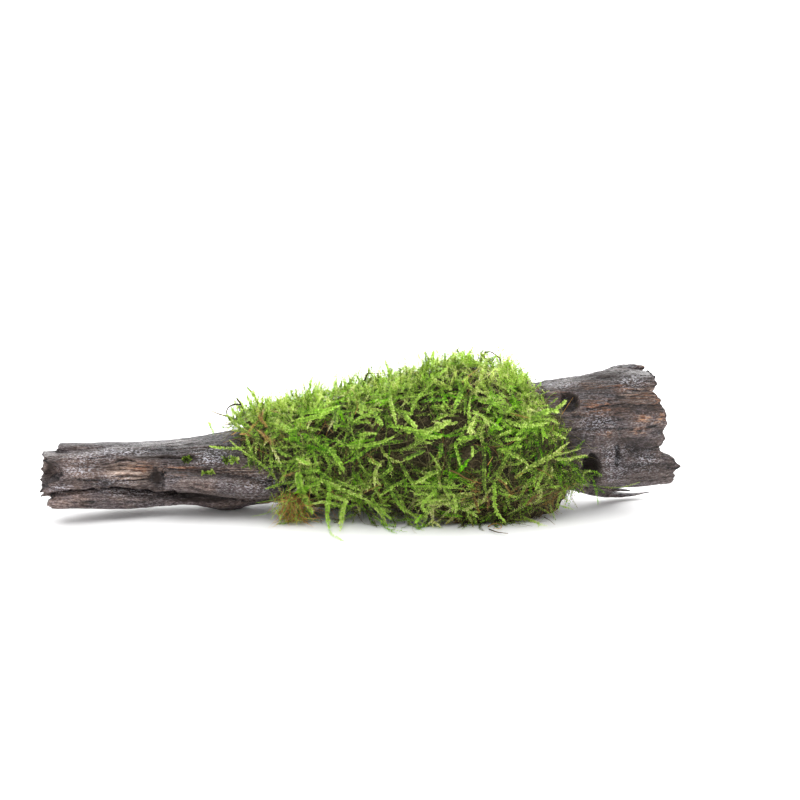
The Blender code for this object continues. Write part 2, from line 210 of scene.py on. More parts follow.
# Dents in front: centre and radii in pixels, how deep in millimetres, and how sharp the edge is, from 2 for a
# soft one to 8. A minus depth stands proud.
DENTS_PX = (
    ((569, 402), (9.5, 9.0), 3.8, 8),
    ((592, 469), (8.5, 14.0), 7.0, 6),
    ((134, 473), (27, 10.5), 0.9, 6),
    ((155, 477), (8.5, 8.5), 2.6, 2),
    ((186, 459.5), (13, 3.6), 1.0, 2),
    ((640, 398), (16, 8), -0.9, 4),
    ((640, 448), (18, 10), 0.9, 4),
    ((100, 472), (30, 7), -0.6, 4),
    ((600, 436), (16, 12), -1.0, 4),
)

# Where fine straight grain lies bare, where the surface is pimpled and glints most, with painted glints as
# well, where it is dark, partly dark wood and partly painted shade under the lobe and in cracks, dents and
# holes, where it is all but black, where it is pale, partly painted light low down where the wood lies in
# shade, and
# where it is rusty: centre and radii in pixels. The black places are painted shade: the torn left end, the
# recess beside the lobe, the cracks, and the holes with their rims.
BARE_GRAIN_PX = ((133, 473, 24, 10.5), (240, 471, 28, 4), (640, 394, 18, 9))
GLINT_PX = (
    (88, 458, 26, 6), (80, 469, 19, 10), (112, 481, 20, 6), (248, 484, 34, 13), (122, 493, 26, 3.5),
    (212, 458, 20, 9), (596, 424, 17, 12), (615, 460, 16, 18), (645, 462, 14, 10), (612, 478, 13, 4),
    (120, 452, 30, 4), (60, 488, 12, 5), (632, 384, 14, 8), (565, 385, 16, 4),
)
DARK_PX = (
    (148, 477, 10, 9), (158, 458, 26, 2.4), (568, 404, 9, 8), (585, 387, 26, 6), (628, 404, 16, 9),
    (652, 406, 12, 8), (594, 424, 14, 18), (200, 495, 50, 5), (640, 445, 20, 12), (100, 466, 26, 8),
    (575, 440, 12, 20), (240, 482, 26, 10), (618, 440, 34, 8), (640, 470, 30, 8), (175, 461, 14, 4),
    (600, 375, 30, 4), (235, 500, 24, 6), (53, 466, 10, 12),
)
SHADE_BLACK_PX = (
    (50, 468, 5, 7), (156.5, 477, 5.5, 7), (592, 469, 9.5, 15.5), (190, 459, 9, 3.4), (150, 457.6, 22, 1.1),
    (563.5, 394, 4, 1.8), (569, 394.5, 4, 2.2), (574, 397, 3.4, 2.6), (577, 401, 2.4, 3.6),
    (576.5, 406, 2.0, 3), (635, 367.6, 7, 1.2), (619, 456, 2.2, 7), (55.5, 447.5, 1.6, 3), (122, 460, 9, 1.2),
    (200, 500, 36, 2.2), (168, 456.6, 14, 1.6),
)
PALE_AND_LIT_PX = ((70, 497, 40, 10), (210, 503, 34, 4), (90, 466, 45, 14), (235, 484, 40, 9))
RUST_PX = (
    (549, 395, 14, 9), (598, 407, 24, 8), (641, 395, 18, 8), (643, 419, 9, 4), (660, 418, 7, 6),
    (640, 431, 8, 3), (604, 434, 8, 3), (642, 366.5, 5, 2.5), (566, 405, 8, 6), (182, 470, 16, 6),
    (143, 470, 12, 6), (590, 386, 30, 5), (655, 398, 10, 8), (620, 388, 14, 5),
)

# The torn left end is cut back in front, between an upper and a lower lip: how deep, round which height and
# over what half height. Its edge reaches out a little, with teeth: how long, how many and where they start.
SCOOP_DEPTH, SCOOP_HEIGHT, SCOOP_HALF_HEIGHT = 8.6, 18.8, 4.7
LEFT_REACH = 1.6
LEFT_TEETH = ((0.9, 9, 0), (0.6, 14, 1))

# Layers of weathering: how far each moves the surface, and how long its noise is along, across and up the
# wood. A groove runs where its noise crosses zero, over the width of its edge. Pits open above a level of
# noise. Bare lines follow the height in the photograph, by their turn in radians a pixel.
WARP, WARP_SIZE = 1.6, (42, 16, 16)
BROAD, BROAD_SIZE = 0.75, (38, 8.5, 8.5)
GROOVE, GROOVE_SIZE, GROOVE_EDGE = 0.95, (34, 3.1, 3.1), 0.075
FINE_GROOVE, FINE_SIZE, FINE_EDGE = 0.34, (17, 1.25, 1.25), 0.11
FIBRE, FIBRE_SIZE = 0.13, (7, 0.62, 0.62)
PIT, PIT_SIZE, PIT_LEVEL = 1.5, (2.6, 1.3, 1.3), 0.42
WORN_SIZE = (23, 12, 12)
CRACK_WAVER, CRACK_WAVER_SIZE = 1.2, (3, 50, 50)
DENT_WAVER, DENT_WAVER_SIZE = 0.20, 2.2
BARE_LINES, BARE_LINES_TURN, BARE_LINES_WAVER, BARE_LINES_SIZE = 0.62, 2.1, 2.4, (40, 3.0, 3.0)
PIMPLE, PIMPLE_SIZE, DEEPEST_PIMPLE = 0.30, (1.9, 1.0, 1.0), -0.2
FACES_FRONT = (-0.2, 0.35)

# A torn end: the share of a strand that it pulls on, and its tears, coarse, fine and inside the end
TORN_SHARE = 0.22
TEAR, TEAR_SIZE = 1.0, (1e6, 1.7, 1.7)
FINE_TEAR, FINE_TEAR_SIZE = 0.6, (1e6, 0.7, 0.7)
INNER_TEAR, INNER_TEAR_SIZE = 1.3, (6, 0.9, 0.9)

# How much of the weathering an end has, from its middle to its edge
END_WEATHERING = (0.15, 0.5)


def noise(p, number):
    """Smooth random values, about -1 to 1: each whole point in space has a random slope, and the eight round
    p are blended with a smooth step. Each use has a number of its own, so that no two are alike."""
    slopes = np.random.default_rng(901 + number).normal(size=(4096, 3))
    slopes /= np.linalg.norm(slopes, axis=1, keepdims=True)
    cell = np.floor(p).astype(np.int64)
    inside = p - cell
    ease = inside**3 * (inside * (inside * 6 - 15) + 10)
    total = np.zeros(p.shape[:-1])
    for corner in itertools.product((0, 1), repeat=3):
        c = cell + corner
        pick = (c[..., 0] * 73856093 ^ c[..., 1] * 19349663 ^ c[..., 2] * 83492791) & 4095
        weight = np.prod(np.where(corner, ease, 1 - ease), axis=-1)
        total += weight * ((inside - corner) * slopes[pick]).sum(-1)
    return total * 1.5


def rows_at(rows, x):
    """Every column of the rows at each x: cubic curves between the rows, whose slopes are those of the
    neighbouring rows."""
    table = np.array(rows, float)
    xs = table[:, 0]
    slopes = np.gradient(table[:, 1:], xs, axis=0)
    i = np.clip(np.searchsorted(xs, x) - 1, 0, len(xs) - 2)
    step = (xs[i + 1] - xs[i])[:, None]
    t = np.clip((x - xs[i])[:, None] / step, 0, 1)
    return (
        (2 * t**3 - 3 * t**2 + 1) * table[i, 1:]
        + (t**3 - 2 * t**2 + t) * step * slopes[i]
        + (3 * t**2 - 2 * t**3) * table[i + 1, 1:]
        + (t**3 - t**2) * step * slopes[i + 1]
    ).T[..., None]


def fade(x, start, end):
    """0 at start and 1 at end, with a smooth step between."""
    t = np.clip((x - start) / (end - start), 0, 1)
    return t * t * (3 - 2 * t)


def section(rows, x, angle, swell=0.0, spare=0.0):
    """Points on squared ellipses at each x and angle: the cosine and sine are raised to a power, which
    squares the section, and waves of three, five and eight lumps round it make it uneven. Spare widens it
    all round."""
    y, z, depth, height, square = rows_at(rows, x)
    c, s = np.cos(angle), np.sin(angle)
    long = x[:, None]
    uneven = 1 + swell * (
        0.5 * np.sin(3 * angle + 0.9 + long / 21)
        + 0.3 * np.sin(5 * angle + 2.0 - long / 13)
        + 0.2 * np.sin(8 * angle + long / 7)
    )
    power = 2 / square
    across = y + (uneven * depth + spare) * np.sign(c) * np.abs(c) ** power
    up = z + (uneven * height + spare) * np.sign(s) * np.abs(s) ** power
    return np.stack([np.broadcast_to(long, across.shape), across, up], axis=-1)


def curved(p, along=None):
    """Points moved by the thin end's curve, which grows with the square of how far along it they are."""
    along = p[..., :1] if along is None else along
    return p + CURVE * np.maximum(0, (along - CURVE_FROM_X) / (CURVE_TO_X - CURVE_FROM_X)) ** 2


def straightened(p):
    """The curve undone: a place is corrected until the curve brings it back to where it was."""
    straight = p
    for correction in range(5):
        straight = 2 * p - curved(p, straight[..., :1])
    return straight


def left_break(angle, z):
    """The torn left end: teeth round the edge, and its front cut back between an upper and a lower lip."""
    front = np.maximum(0.0, -np.cos(angle))
    out = LEFT_REACH - front
    for size, count, turn in LEFT_TEETH:
        out = out + size * np.sin(count * angle + turn)
    return out - SCOOP_DEPTH * front**2 * np.exp(-(((z - SCOOP_HEIGHT) / SCOOP_HALF_HEIGHT) ** 4))


def right_break(angle, z):
    """The broken right end: read from the two break outlines by height, and mixed from back to front."""
    front = np.interp(z, *zip(*FRONT_BREAK))
    back = np.interp(z, *zip(*BACK_BREAK))
    return back + (front - back) * np.minimum(1.0, 0.8 - 0.8 * np.cos(angle))


def torn(size, count, turn):
    """A small torn end: a wave with a few teeth round the edge."""
    return lambda angle, z: size * np.sin(count * angle + turn)


def outward(grid):
    """The outward direction at each point of a closed grid: the cross product of its two slopes."""
    along = np.gradient(grid, axis=0)
    wrapped = np.concatenate([grid[:, -1:], grid, grid[:, :1]], axis=1)
    around = (wrapped[:, 2:] - wrapped[:, :-2]) / 2
    normal = np.cross(around, along)
    return normal / np.maximum(np.linalg.norm(normal, axis=-1, keepdims=True), 1e-9)


def near_line(px, py, line):
    """How far each place in the photograph is from a line of points, in pixels."""
    best = np.full(px.shape, 1e9)
    for (ax, ay), (bx, by) in zip(line, line[1:]):
        dx, dy = bx - ax, by - ay
        t = np.clip(((px - ax) * dx + (py - ay) * dy) / (dx * dx + dy * dy), 0, 1)
        best = np.minimum(best, np.hypot(px - ax - t * dx, py - ay - t * dy))
    return best


def weathered(p, normal):
    """How far weathering moves each point outwards: broad hollows, grooves of the grain, which are where a
    noise that is stretched along the wood crosses zero, fine fibres, pits, and the cracks and dents seen."""
    q = p + WARP * noise(p / WARP_SIZE, 1)[..., None] * (0, 1, 1)
    worn = 0.5 + 0.5 * noise(p / WORN_SIZE, 7)
    groove = np.exp(-np.abs(noise(q / GROOVE_SIZE, 3)) / GROOVE_EDGE)
    fine_groove = np.exp(-np.abs(noise(q / FINE_SIZE, 4)) / FINE_EDGE)
    pits = np.clip(noise(q / PIT_SIZE, 6) - PIT_LEVEL, 0, 1)
    out = BROAD * noise(q / BROAD_SIZE, 2) - GROOVE * groove * worn - FINE_GROOVE * fine_groove
    out += FIBRE * noise(q / FIBRE_SIZE, 5) - PIT * pits * worn
    px, py = seen(curved(p))
    front = fade(-normal[..., 1], *FACES_FRONT)
    wavering = py + CRACK_WAVER * noise(p / CRACK_WAVER_SIZE, 8)
    for line, wide, deep in CRACKS_PX:
        away = near_line(px, wavering, line) / PX_PER_MM
        out -= front * deep * np.exp(-((away / wide) ** 2))
    waver = DENT_WAVER * noise(p / DENT_WAVER_SIZE, 9)
    for (cx, cy), (rx, ry), deep, sharp in DENTS_PX:
        away = np.hypot((px - cx) / rx, (py - cy) / ry) + waver
        out -= front * deep * np.exp(-(np.abs(away) ** sharp))
    bent = py + BARE_LINES_WAVER * noise(q / BARE_LINES_SIZE, 14)
    lines = 0.5 + 0.5 * np.sin(BARE_LINES_TURN * bent)
    out -= BARE_LINES * front * blob(px, py, BARE_GRAIN_PX, 2) * lines
    pimples = np.clip(noise(q / PIMPLE_SIZE, 15), DEEPEST_PIMPLE, 1)
    return out + PIMPLE * front * blob(px, py, GLINT_PX) * pimples


def blob(px, py, places, power=1):
    """1 at the middle of any of the places, fading to 0 round it: centre and radii in pixels. The power makes
    the edge sharper."""
    away = [((px - cx) / rx) ** 2 + ((py - cy) / ry) ** 2 for cx, cy, rx, ry in places]
    return np.max([np.exp(-(far**power)) for far in away], axis=0)


def strand(rows, x, sides, swell, rims, caps, ragged):
    """A closed strand of wood: sections at each x, whose ends are pushed out by their rims, then rings that
    shrink and sink towards the middle of each end, and the whole moved outwards by its weathering."""
    angle = np.linspace(0, 2 * np.pi, sides, endpoint=False)[None, :]
    grid = section(rows, x, angle, swell)
    first, last = x[0], x[-1]
    reach = TORN_SHARE * (last - first)
    tear = TEAR * ragged * noise(grid / TEAR_SIZE, 11) + FINE_TEAR * ragged * noise(grid / FINE_TEAR_SIZE, 12)
    if rims[0]:
        share = fade(x, first + reach, first)[:, None]
        grid[..., 0] -= (rims[0](angle, grid[..., 2]) + tear) * share
    if rims[1]:
        share = fade(x, last - reach, last)[:, None]
        grid[..., 0] += (rims[1](angle, grid[..., 2]) + tear) * share

    def cap(ring, profile, inward):
        soft = profile is SOFT_CAP
        steps = np.linspace(0, 1, 1 + (SOFT_CAP_RINGS if soft else CAP_RINGS))[1:]
        knots = np.linspace(0, 1, len(profile) + soft)[int(soft):]
        shrink = np.interp(steps, knots, [p[0] for p in profile])[:, None, None]
        sink = np.interp(steps, knots, [p[1] for p in profile])[:, None]
        middle = ring.mean(0)
        rings = middle + (ring - middle) * np.maximum(shrink, SMALLEST_RING)
        rings[..., 0] += inward * sink
        uneven = noise(rings / INNER_TEAR_SIZE, 13) * fade(shrink[..., 0], 0.0, 0.15)
        rings[..., 0] += INNER_TEAR * ragged * uneven
        return rings

    start, end = cap(grid[0], caps[0], 1), cap(grid[-1], caps[1], -1)
    whole = np.concatenate([start[::-1], grid, end])
    normal = outward(whole)
    middle, edge = END_WEATHERING
    depth = np.concatenate([
        np.linspace(middle, edge, len(start)), np.ones(len(grid)), np.linspace(edge, middle, len(end)),
    ])
    moved = whole + normal * (weathered(whole, normal) * depth[:, None])[..., None]
    moved[..., 2] = np.maximum(moved[..., 2], 0.0)
    return curved(moved)


def closed_mesh(name, grid):
    """A mesh over a grid that closes round its second side, with one point at each end."""
    rings, sides = grid.shape[:2]
    points = np.concatenate([grid.reshape(-1, 3), grid[:1].mean(1), grid[-1:].mean(1)])
    k = np.arange(rings * sides).reshape(rings, sides)
    n = np.roll(k, -1, axis=1)
    quads = np.stack([k[:-1], n[:-1], n[1:], k[1:]], axis=-1).reshape(-1, 4)
    first, last = rings * sides, rings * sides + 1
    fans = np.concatenate([
        np.stack([n[0], k[0], np.full(sides, first)], axis=-1),
        np.stack([k[-1], n[-1], np.full(sides, last)], axis=-1),
    ])
    mesh = bpy.data.meshes.new(name)
    mesh.from_pydata((points + WOOD_ORIGIN) * MM, [], quads.tolist() + fans.tolist())
    return shown(name, mesh)


def stations(*stretches):
    """Places along the wood: each stretch is its start, end and spacing."""
    parts = [np.linspace(a, b, int(round((b - a) / step)) + 1)[:-1] for a, b, step in stretches]
    return np.append(np.concatenate(parts), stretches[-1][1])


def union(name, parts):
    """One mesh of overlapping closed parts, joined one after another."""
    whole = parts[0]
    for part in parts[1:]:
        join = whole.modifiers.new(part.name, "BOOLEAN")
        join.operation = "UNION"
        join.solver = "MANIFOLD"
        join.object = part
    bpy.context.view_layer.update()
    mesh = bpy.data.meshes.new_from_object(whole.evaluated_get(bpy.context.evaluated_depsgraph_get()))
    for part in parts:
        bpy.data.objects.remove(part)
    mesh.name = name
    return shown(name, mesh)


# The strands: their rows, the stretches of x that they are worked out over, with the spacing of each, their
# number of sides, how uneven they are round, the rims and caps of their two ends, and how ragged these are
TRUNK_STRETCHES = (
    (-126.5, -118, 0.5), (-118, -38, 0.85), (-38, 66, 3.2), (66, 108, 0.85), (108, 118.5, 0.5),
)
SOFT = (SOFT_CAP, SOFT_CAP)
STRANDS = {
    "trunk": (TRUNK_ROWS, TRUNK_STRETCHES, 228, 0.055, (left_break, right_break), (LEFT_CAP, RIGHT_CAP), 1.0),
    "top_ridge": (RIDGE_ROWS, ((-122, -54, 0.9),), 40, 0.08, (torn(0.8, 3, 0), None), SOFT, 0.5),
    "slab": (SLAB_ROWS, ((-124.5, -28, 0.9),), 76, 0.05, (torn(1.2, 4, 1), None), SOFT, 0.9),
    "lobe": (LOBE_ROWS, ((-79, -27, 0.8),), 72, 0.08, (torn(0.5, 4, 2), None), SOFT, 0.8),
    "back_ridge": (BACK_RIDGE_ROWS, ((86, 113.5, 0.7),), 32, 0.05, (None, torn(0.6, 3, 0)), SOFT, 0.4),
    "splinter": (SPLINTER_ROWS, ((82, 117.5, 0.7),), 32, 0.05, (None, None), SOFT, 0.3),
    "tooth": (TOOTH_ROWS, ((88, 108.5, 0.7),), 28, 0.05, (None, None), SOFT, 0.3),
}
wood = union("weathered_driftwood", [
    closed_mesh(name, strand(rows, stations(*stretches), *shape))
    for name, (rows, stretches, *shape) in STRANDS.items()
])
wood.data.shade_smooth()


def mark(obj, name, values):
    """Keeps one number for each point of a mesh, for its material to read."""
    attribute = obj.data.attributes.new(name, "FLOAT", "POINT")
    attribute.data.foreach_set("value", np.asarray(values, np.float32))


def mark_places(obj, name, places):
    """Keeps one place for each point of a mesh, in metres, for its material to read."""
    attribute = obj.data.attributes.new(name, "FLOAT_VECTOR", "POINT")
    attribute.data.foreach_set("vector", (places * MM).astype(np.float32).ravel())


def points_of(obj):
    """Points and their outward directions, in millimetres from the wood's origin."""
    count = len(obj.data.vertices)
    co, no = np.empty(count * 3, np.float32), np.empty(count * 3, np.float32)
    obj.data.vertices.foreach_get("co", co)
    obj.data.vertices.foreach_get("normal", no)
    return co.reshape(-1, 3).astype(float) / MM - WOOD_ORIGIN, no.reshape(-1, 3).astype(float)


def hollows(obj, at, facing, rounds):
    """How far each point lies below its surroundings, in millimetres: the mean place of its neighbours, taken
    over and over, less its own place, measured along its outward direction."""
    ends = np.empty(len(obj.data.edges) * 2, np.int32)
    obj.data.edges.foreach_get("vertices", ends)
    ends = ends.reshape(-1, 2)
    own, other = np.concatenate([ends, ends[:, ::-1]]).T
    count = np.maximum(np.bincount(own, minlength=len(at)), 1)[:, None]
    mean = at
    for once in range(rounds):
        mean = np.stack([np.bincount(own, mean[other, axis], len(at)) for axis in range(3)], axis=-1) / count
    return ((mean - at) * facing).sum(-1)


# What the material reads at each point. Hollow shade is 0.4 on a level surface, and more where a point lies
# below its near and its far neighbours: how much each counts, and over how many rounds. The material darkens
# the hollows by it, as painted shade. Tops are less pale, which is painted shade on them.
LEVEL, NEAR_HOLLOWS, FAR_HOLLOWS, LEFT_END_LESS = 0.4, (0.9, 2), (0.42, 14), 0.22
LEAST_GLINT, LEFT_END_DARK, PLACE_DARK, TOP_PAINTED_SHADE = 0.12, 0.35, 0.55, 0.45
NEAR_LEFT, NEAR_RIGHT = (-106, -119), (96, 106)
at, facing = points_of(wood)
px, py = seen(at)
near_left, near_right = fade(at[:, 0], *NEAR_LEFT), fade(at[:, 0], *NEAR_RIGHT)
front = fade(-facing[:, 1], -0.3, 0.4)
sunken = sum(share * hollows(wood, at, facing, rounds) for share, rounds in (NEAR_HOLLOWS, FAR_HOLLOWS))
# The end faces are darker, and so are the dark places, partly dark wood and partly painted shade; the all but
# black places are painted shade in cracks, holes and recesses
left_end = LEFT_END_DARK * fade(-facing[:, 0], 0.25, 0.7) * near_left
right_end = fade(facing[:, 0], 0.5, 0.9) * near_right
dark = front * PLACE_DARK * blob(px, py, DARK_PX)
shade_black = blob(px + 3 * noise(at / 2.5, 16), py + 2 * noise(at / 2.0, 17), SHADE_BLACK_PX, 3) * fade(at[:, 1], 3, -1)
mark_places(wood, "grain", straightened(at))
mark(wood, "hollow_shade", np.clip(LEVEL + sunken - LEFT_END_LESS * near_left, 0, 1))
mark(wood, "rust", front * blob(px, py, RUST_PX))
mark(wood, "bare", front * blob(px, py, BARE_GRAIN_PX, 2))
mark(wood, "glint", np.maximum(front * blob(px, py, GLINT_PX), LEAST_GLINT))
mark(wood, "dark", np.max([left_end, right_end, dark, shade_black], axis=0))
# Pale places, partly painted light where the wood lies in shade, less painted shade on the tops
mark(wood, "pale_and_painted_light", front * blob(px, py, PALE_AND_LIT_PX) - TOP_PAINTED_SHADE * fade(facing[:, 2], 0.1, 0.75))


def add(tree, kind, links=None, **values):
    """A shader node with its values set, and its inputs linked from other nodes' outputs."""
    made = tree.nodes.new(kind)
    for name, value in values.items():
        setattr(made, name, value)
    for name, value in (links or {}).items():
        socket = made.inputs[name]
        if isinstance(value, bpy.types.NodeSocket):
            tree.links.new(value, socket)
        else:
            socket.default_value = value
    return made


def rgba(value):
    """A colour for a socket: one number is a grey, and another node's output stays as it is."""
    return value if isinstance(value, bpy.types.NodeSocket) else (*np.broadcast_to(value, 3), 1)


def ramp(tree, factor, *stops):
    """A colour ramp of stops: a place, and its colour or its grey."""
    made = add(tree, "ShaderNodeValToRGB", {"Fac": factor})
    elements = made.color_ramp.elements
    while len(elements) < len(stops):
        elements.new(0.5)
    for element, (place, colour) in zip(elements, stops):
        element.position = place
        element.color = rgba(colour)
    return made.outputs["Color"]


def mix(tree, factor, first, second, blend="MIX"):
    """Two colours or greys mixed by a factor."""
    sockets = {0: factor, 6: rgba(first), 7: rgba(second)}
    return add(tree, "ShaderNodeMix", sockets, data_type="RGBA", blend_type=blend).outputs[2]


def maths(tree, operation, first, second, clamp=False):
    """One step of arithmetic."""
    return add(tree, "ShaderNodeMath", {0: first, 1: second}, operation=operation, use_clamp=clamp).outputs[0]


def weighed(tree, first, *others):
    """A sum of outputs, each times its weight."""
    total = maths(tree, "MULTIPLY", *first)
    for other in others:
        total = maths(tree, "ADD", total, maths(tree, "MULTIPLY", *other))
    return total


# The stretched noise that every material of the wood and the moss uses, as one node group
stretched = bpy.data.node_groups.new("stretched_noise", "ShaderNodeTree")
stretched.interface.new_socket("Place", in_out="INPUT", socket_type="NodeSocketVector")
stretched.interface.new_socket("Stretch", in_out="INPUT", socket_type="NodeSocketVector")
stretched.interface.new_socket("Detail", in_out="INPUT", socket_type="NodeSocketFloat")
stretched.interface.new_socket("Roughness", in_out="INPUT", socket_type="NodeSocketFloat")
stretched.interface.new_socket("Value", in_out="OUTPUT", socket_type="NodeSocketFloat")
given = add(stretched, "NodeGroupInput").outputs
scaled = add(stretched, "ShaderNodeMapping", {"Vector": given["Place"], "Scale": given["Stretch"]})
wavy = add(stretched, "ShaderNodeTexNoise", {
    "Vector": scaled.outputs[0], "Scale": 1.0, "Detail": given["Detail"], "Roughness": given["Roughness"],
})
add(stretched, "NodeGroupOutput", {"Value": wavy.outputs["Fac"]})


def grain_noise(tree, place, stretch, detail, rough=0.6):
    """Noise stretched along the wood: stretch is how many times it changes in a metre along x, y and z."""
    values = {"Place": place, "Stretch": stretch, "Detail": detail, "Roughness": rough}
    return add(tree, "ShaderNodeGroup", values, node_tree=stretched).outputs["Value"]


def value_of(tree, name):
    """A number kept on the mesh."""
    return add(tree, "ShaderNodeAttribute", attribute_name=name).outputs["Fac"]


def material(name):
    """A new material, its node tree and its shader."""
    made = bpy.data.materials.new(name)
    made.use_nodes = True
    return made, made.node_tree, made.node_tree.nodes["Principled BSDF"]


# The wood's colours from its dark fibres to its pale ones: brown, grey, rusty, and where fine grain is bare
BROWN = (
    (0.40, (0.024, 0.0150, 0.0125)), (0.47, (0.080, 0.055, 0.047)), (0.53, (0.162, 0.117, 0.104)),
    (0.61, (0.34, 0.268, 0.246)),
)
GREY = ((0.40, (0.020, 0.0158, 0.017)), (0.52, (0.102, 0.083, 0.090)), (0.61, (0.275, 0.237, 0.252)))
RUSTY = ((0.40, (0.095, 0.040, 0.022)), (0.50, (0.44, 0.190, 0.092)), (0.62, (0.90, 0.54, 0.30)))
BARE = ((0.40, (0.105, 0.068, 0.053)), (0.49, (0.39, 0.282, 0.228)), (0.60, (0.82, 0.69, 0.61)))
# The all but black that dark places go to: partly dark wood, and painted shade in cracks, holes and recesses
BLACK = (0.024, 0.0150, 0.012)
# Painted highlight: the pale colour of the specks where the wet wood glints
PAINTED_GLINT = (0.90, 0.89, 0.98)

# What the colours are multiplied by, as painted shade and painted light: from what stands proud to what lies
# deep in hollows, and from dull places and tops to pale places
HOLLOW_SHADE = (
    (0.26, 1.0), (0.40, (0.76, 0.75, 0.74)), (0.56, (0.34, 0.32, 0.31)), (0.80, (0.06, 0.055, 0.05)),
)
PALE_AND_PAINTED_LIGHT = ((0.0, 0.27), (0.5, (0.90, 0.89, 0.885)), (1.0, (1.6, 1.54, 1.48)))
GLINT_ROUGHNESS, DARK_ROUGHNESS = 0.16, 0.85
BARE_SHARE, GLINT_SHARE, DARK_SHARE = 0.9, 0.84, 0.94

look, tree, shader = material("wet_driftwood")
place = add(tree, "ShaderNodeAttribute", attribute_name="grain").outputs["Vector"]
bands = grain_noise(tree, place, (34, 330, 330), 5.0)
fibres = grain_noise(tree, place, (240, 2200, 2200), 4.0)
patches = grain_noise(tree, place, (60, 110, 110), 4.0)
grit = grain_noise(tree, place, (950, 2400, 2400), 2.0, 0.7)
streaks = grain_noise(tree, place, (75, 1500, 1500), 3.0)
bare, rust, dark = (value_of(tree, name) for name in ("bare", "rust", "dark"))

tone = weighed(tree, (bands, 0.30), (fibres, 0.40), (grit, 0.30))
greyed = ramp(tree, patches, (0.46, 0.0), (0.58, 0.75))
streaked = ramp(tree, streaks, (0.47, 0.06), (0.57, 1.0))
colour = mix(tree, greyed, ramp(tree, tone, *BROWN), ramp(tree, tone, *GREY))
colour = mix(tree, maths(tree, "MULTIPLY", bare, BARE_SHARE), colour, ramp(tree, tone, *BARE))
colour = mix(tree, maths(tree, "MULTIPLY", rust, streaked), colour, ramp(tree, tone, *RUSTY))
# Painted shade: the colour is darker the deeper a point lies in a hollow
colour = mix(tree, 1.0, colour, ramp(tree, value_of(tree, "hollow_shade"), *HOLLOW_SHADE), "MULTIPLY")
# Painted light and shade: pale places lighter, tops darker
lift = ramp(tree, maths(tree, "ADD", value_of(tree, "pale_and_painted_light"), 0.5), *PALE_AND_PAINTED_LIGHT)
colour = mix(tree, 1.0, colour, lift, "MULTIPLY")

# Painted highlights: pale specks where the wood glints, mixed into its colour, where the surface is also
# glossier
specks = ramp(tree, grit, (0.525, 0.0), (0.59, 1.0))
uneven = ramp(tree, bands, (0.40, 0.35), (0.56, 1.0))
glossy_and_painted_glints = maths(tree, "MULTIPLY", maths(tree, "MULTIPLY", specks, uneven), value_of(tree, "glint"), True)
colour = mix(tree, maths(tree, "MULTIPLY", glossy_and_painted_glints, GLINT_SHARE), colour, PAINTED_GLINT)
# Dark places towards black: painted shade in cracks, holes and recesses, and partly dark wood
colour = mix(tree, maths(tree, "MULTIPLY", dark, DARK_SHARE), colour, BLACK)
tree.links.new(colour, shader.inputs["Base Color"])

wetness = ramp(tree, patches, (0.38, 0.34), (0.62, 0.62))
roughness = mix(tree, glossy_and_painted_glints, wetness, GLINT_ROUGHNESS)
tree.links.new(mix(tree, dark, roughness, DARK_ROUGHNESS), shader.inputs["Roughness"])
height = weighed(tree, (fibres, 0.55), (grit, 0.45))
bump = add(tree, "ShaderNodeBump", {"Height": height, "Strength": 1.0, "Distance": 0.0013})
tree.links.new(bump.outputs[0], shader.inputs["Normal"])
shader.inputs["Specular IOR Level"].default_value = 0.45
wood.data.materials.clear()
wood.data.materials.append(look)
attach(wood, "root")
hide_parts("driftwood")


# The moss felt
# Java moss that has gripped the wood by itself: its oldest growth is a dark felt of stems and dead leaves. It
# wraps the trunk from low at the back, over the top, to low in front, and its inner side lies in the wood.

# The mat, as rows of the same kind. Its right edge leans: it reaches further low down than at the top.
MAT_ROWS = (
    (-55, 2, 28.5, 16.6, 6.5, 2.2),
    (-47, 2, 28.0, 19.0, 11.0, 2.2),
    (-38, 1, 27.0, 21.5, 14.6, 2.2),
    (-28, 0, 25.2, 23.5, 19.0, 2.2),
    (-16, -1, 25.5, 25.5, 22.0, 2.2),
    (-2, -1.5, 26.7, 27.5, 24.6, 2.2),
    (14, -2, 28.0, 29.0, 27.0, 2.2),
    (30, -2, 28.3, 30.0, 30.6, 2.2),
    (46, -2, 28.3, 30.0, 31.8, 2.2),
    (58, -1, 27.2, 28.5, 30.0, 2.2),
    (70, 1, 27.0, 24.5, 26.8, 2.2),
    (80, 2, 29.0, 20.0, 24.2, 2.2),
    (85, 3, 30.4, 17.2, 22.6, 2.2),
)
MAT_SWELL = 0.05

# Where the right edge leans and by how much a millimetre of height, and how it waves round the mat
MAT_LEAN_FROM, MAT_LEAN_TO = 52.0, 85.0
MAT_LEAN, MAT_LEAN_HEIGHT = 0.5, 30.0
MAT_WAVE, MAT_WAVES = 1.6, 7

# The mat ends at these angles, low at the back and low in front. Past them, growth hangs down to the ground,
# and slides outwards there.
MAT_BACK, MAT_FRONT = math.radians(-40), math.radians(222)
HANG_PER_RADIAN = 26.0
GROUND_GAP = 0.6
SLIDE = 0.8

# The felt lies below the fronds, and its inner side in the wood. Its lumps: how high each is and how wide.
# Low on the right it reaches lower, by an angle. Its ends tuck into the wood, and its upper right a little.
FELT_DEPTH = 3.4
FELT_IN_WOOD = 7.0
FELT_AROUND = np.radians(np.linspace(-48, 232, 170))
LUMPS = ((1.3, 6.5), (0.7, 2.4), (0.35, 0.9))
LOW_RIGHT_LOWER, LOW_ANGLES, LOWER_FROM, LOWER_TO = 0.16, (3.4, 4.0), (24, 44), (86, 66)
LEFT_TUCK, RIGHT_TUCK = (-53, -45), (85, 75)
TOP_RIGHT_TUCK, UPPER_ANGLES, UPPER_FROM = 0.4, (2.7, 3.3), (70, 82)


